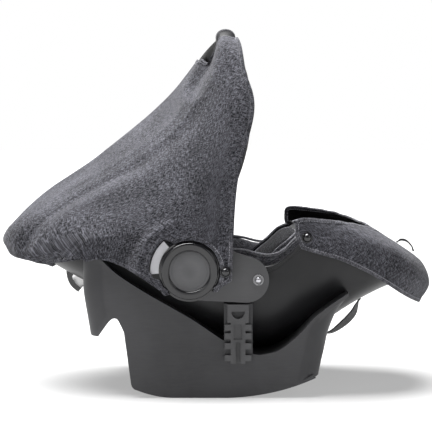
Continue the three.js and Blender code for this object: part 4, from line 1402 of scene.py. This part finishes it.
def harness(side, suffix):
    """One shoulder strap, its pad, and the strap behind the bowl that it leads to."""
    count = 90
    line = spline(mirror_y(SHOULDER_LINE, side) * MM, count)

    def lean(i):
        return (0, 1, -side * 0.45 * math.sin(math.pi * i / count))

    strap = ribbon(f"shoulder_webbing_{suffix}", line, lean, 25 * MM, 2 * MM, webbing)
    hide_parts(f"shoulder_strap_{suffix}")
    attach(strap, "shell")
    back = spline(mirror_y([(-132, -42, 110), (-108, -34, 96), (-80, -18, 80)], side) * MM, 12)
    back_strap = ribbon(f"back_webbing_{suffix}", back, lambda i: (0, 1, 0), 25 * MM, 2 * MM, webbing)
    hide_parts(f"back_strap_{suffix}")
    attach(back_strap, "shell")
    shoulder_pad(suffix, count, line, lean)


def shoulder_pad(suffix, count, line, lean):
    """A long pad with round ends round the shoulder strap, piped along its middle."""
    first, last = int(0.4 * count), int(0.69 * count)
    path = line[first:last + 1]
    run = along_path(path)
    length = run[-1]
    tangents = np.gradient(path, axis=0)
    rings, edge_a, edge_b = [], [], []
    half_width, half_height = 25 * MM, 5.2 * MM
    for i, centre in enumerate(path):
        s = min(run[i], length - run[i])
        share = math.sqrt(max(1 - (1 - min((s + 1.2 * MM) / half_width, 1)) ** 2, 0.02))
        across = np.array(lean(first + i), float)
        t = tangents[i] / np.linalg.norm(tangents[i])
        across -= t * across.dot(t)
        across /= np.linalg.norm(across)
        up = np.cross(t, across)
        reach = across * half_width * share
        rise = up * half_height * (0.6 + 0.4 * share)
        rings.append([centre + reach * math.cos(a) + rise * math.sin(a)
                      for a in np.linspace(0, 2 * math.pi, 33)[:-1]])
        edge_a.append(centre + reach)
        edge_b.append(centre - reach)
    body = loft(f"shoulder_cushion_{suffix}", rings, strap_pad_fabric)
    outline = even(np.array(edge_a + edge_b[::-1] + edge_a[:1]), 160)

    def hold(points):
        return near_lines(points, [outline[::4]], 3.5 * MM)

    puff(body, 3.2 * MM, 5 * MM, hold, strap_pad_fabric)
    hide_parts(f"shoulder_pad_{suffix}")
    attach(body, "shell")
    bead = piping(f"shoulder_pad_piping_{suffix}", outline, 1.5 * MM, piping_fabric, 8)
    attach(bead, "shell")


# ---- hard pieces carried over from the frame ---------------------------------------------------

def dress(nodes, material, bevel=0.0):
    """Gives CAD nodes a material and, with a bevel, rounded edges."""
    for name in nodes:
        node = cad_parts[name]
        set_material(node, material)
        if bevel:
            soften(node, bevel)
        else:
            node.data.polygons.foreach_set("use_smooth", [False] * len(node.data.polygons))


def pair(name):
    return [f"{name}_right", f"{name}_left"]


def dress_hard_pieces():
    dress(pair("ear_plate"), ear_plastic, 1.6 * MM)
    dress(pair("adapter_guide"), ear_plastic, 0.7 * MM)
    dress(["rear_belt_guide"], gloss_plastic, 1.0 * MM)
    dress(pair("detent_ring") + pair("pivot_bolt") + pair("release_spring"), steel)
    dress(pair("release_button"), button_plastic, 0.9 * MM)
    dress(["buckle_body"], gloss_plastic, 1.2 * MM)
    dress(["buckle_button"], red_plastic, 0.8 * MM)
    dress(pair("buckle_tongue") + ["splitter_plate"], steel, 0.5 * MM)
    dress(["adjuster_housing"], dark_plastic_and_shade, 1.0 * MM)
    dress(["adjuster_button"], gloss_plastic, 0.8 * MM)
    dress(["foam_liner"], foam, 1.0 * MM)


# ---- stage -------------------------------------------------------------------------------------

SUN_DIRECTION = (0.25, -0.12, -1)
CAMERA_TARGET = Vector((0, 0, 0.264))
CAMERA_DISTANCE = 2.6
CAMERA_ELEVATION = math.radians(3)


def aimed(name, data, place, direction):
    """Puts a light or the camera in the scene, looking along direction."""
    obj = bpy.data.objects.new(name, data)
    bpy.context.scene.collection.objects.link(obj)
    obj.location = place
    obj.rotation_euler = Vector(direction).to_track_quat("-Z", "Y").to_euler()
    return obj


def softbox(name, place, target, size, power):
    light = bpy.data.lights.new(name, "AREA")
    light.shape = "RECTANGLE"
    light.size, light.size_y = size
    light.energy = power
    aimed(name, light, place, Vector(target) - Vector(place))


def studio_floor():
    material, tree, shader = new_material("studio_floor")
    tree.fill(shader, {"Base Color": (0.28, 0.28, 0.28, 1), "Roughness": 1.0, "Specular IOR Level": 0.0,
                       "Emission Color": (1, 1, 1, 1), "Emission Strength": 0.4})
    mesh = bpy.data.meshes.new("floor")
    mesh.from_pydata([(-30, -30, 0), (30, -30, 0), (30, 30, 0), (-30, 30, 0)], [], [(0, 1, 2, 3)])
    link("floor", mesh, material)


def studio_lights():
    """A world that is white round the horizon and dark above, a wide sun and two soft boxes."""
    world = bpy.data.worlds.new("studio")
    tree = Tree(world)
    height = tree.maths("ABSOLUTE", tree.axes(tree.coordinates("Generated"))["Z"])
    glow = tree.ramp(height, (0.10, (1, 1, 1)), (0.16, (0.06, 0.06, 0.064)))
    tree.fill(tree.nodes["Background"], {"Color": glow, "Strength": 1.0})
    bpy.context.scene.world = world
    sun = bpy.data.lights.new("overhead", "SUN")
    sun.energy = 13.0
    sun.angle = math.radians(50)
    aimed("overhead", sun, (0, 0, 0), SUN_DIRECTION)
    softbox("front_softbox", (-1.2, -2.4, 1.4), (0, 0, 0.3), (0.9, 0.9), 7)
    softbox("foot_softbox", (2.0, -1.0, 1.6), (0, 0, 0.25), (0.6, 1.2), 9)


def studio_camera():
    camera = bpy.data.cameras.new("camera")
    camera.lens = 135
    camera.sensor_width = 36
    away = CAMERA_DISTANCE * Vector((0, -math.cos(CAMERA_ELEVATION), math.sin(CAMERA_ELEVATION)))
    bpy.context.scene.camera = aimed("camera", camera, CAMERA_TARGET + away, -away)
    bpy.context.scene.view_settings.view_transform = "Standard"


bowl_shell()
bowl_rim()
hub_bosses()
rocker_base()
handle_bow()
grip()
hub_covers()
press_studs()
canopy()
leg_cover()
seat_padding()
pad_edges()
straight_straps()
both_sides(harness)
dress_hard_pieces()
studio_floor()
studio_lights()
studio_camera()
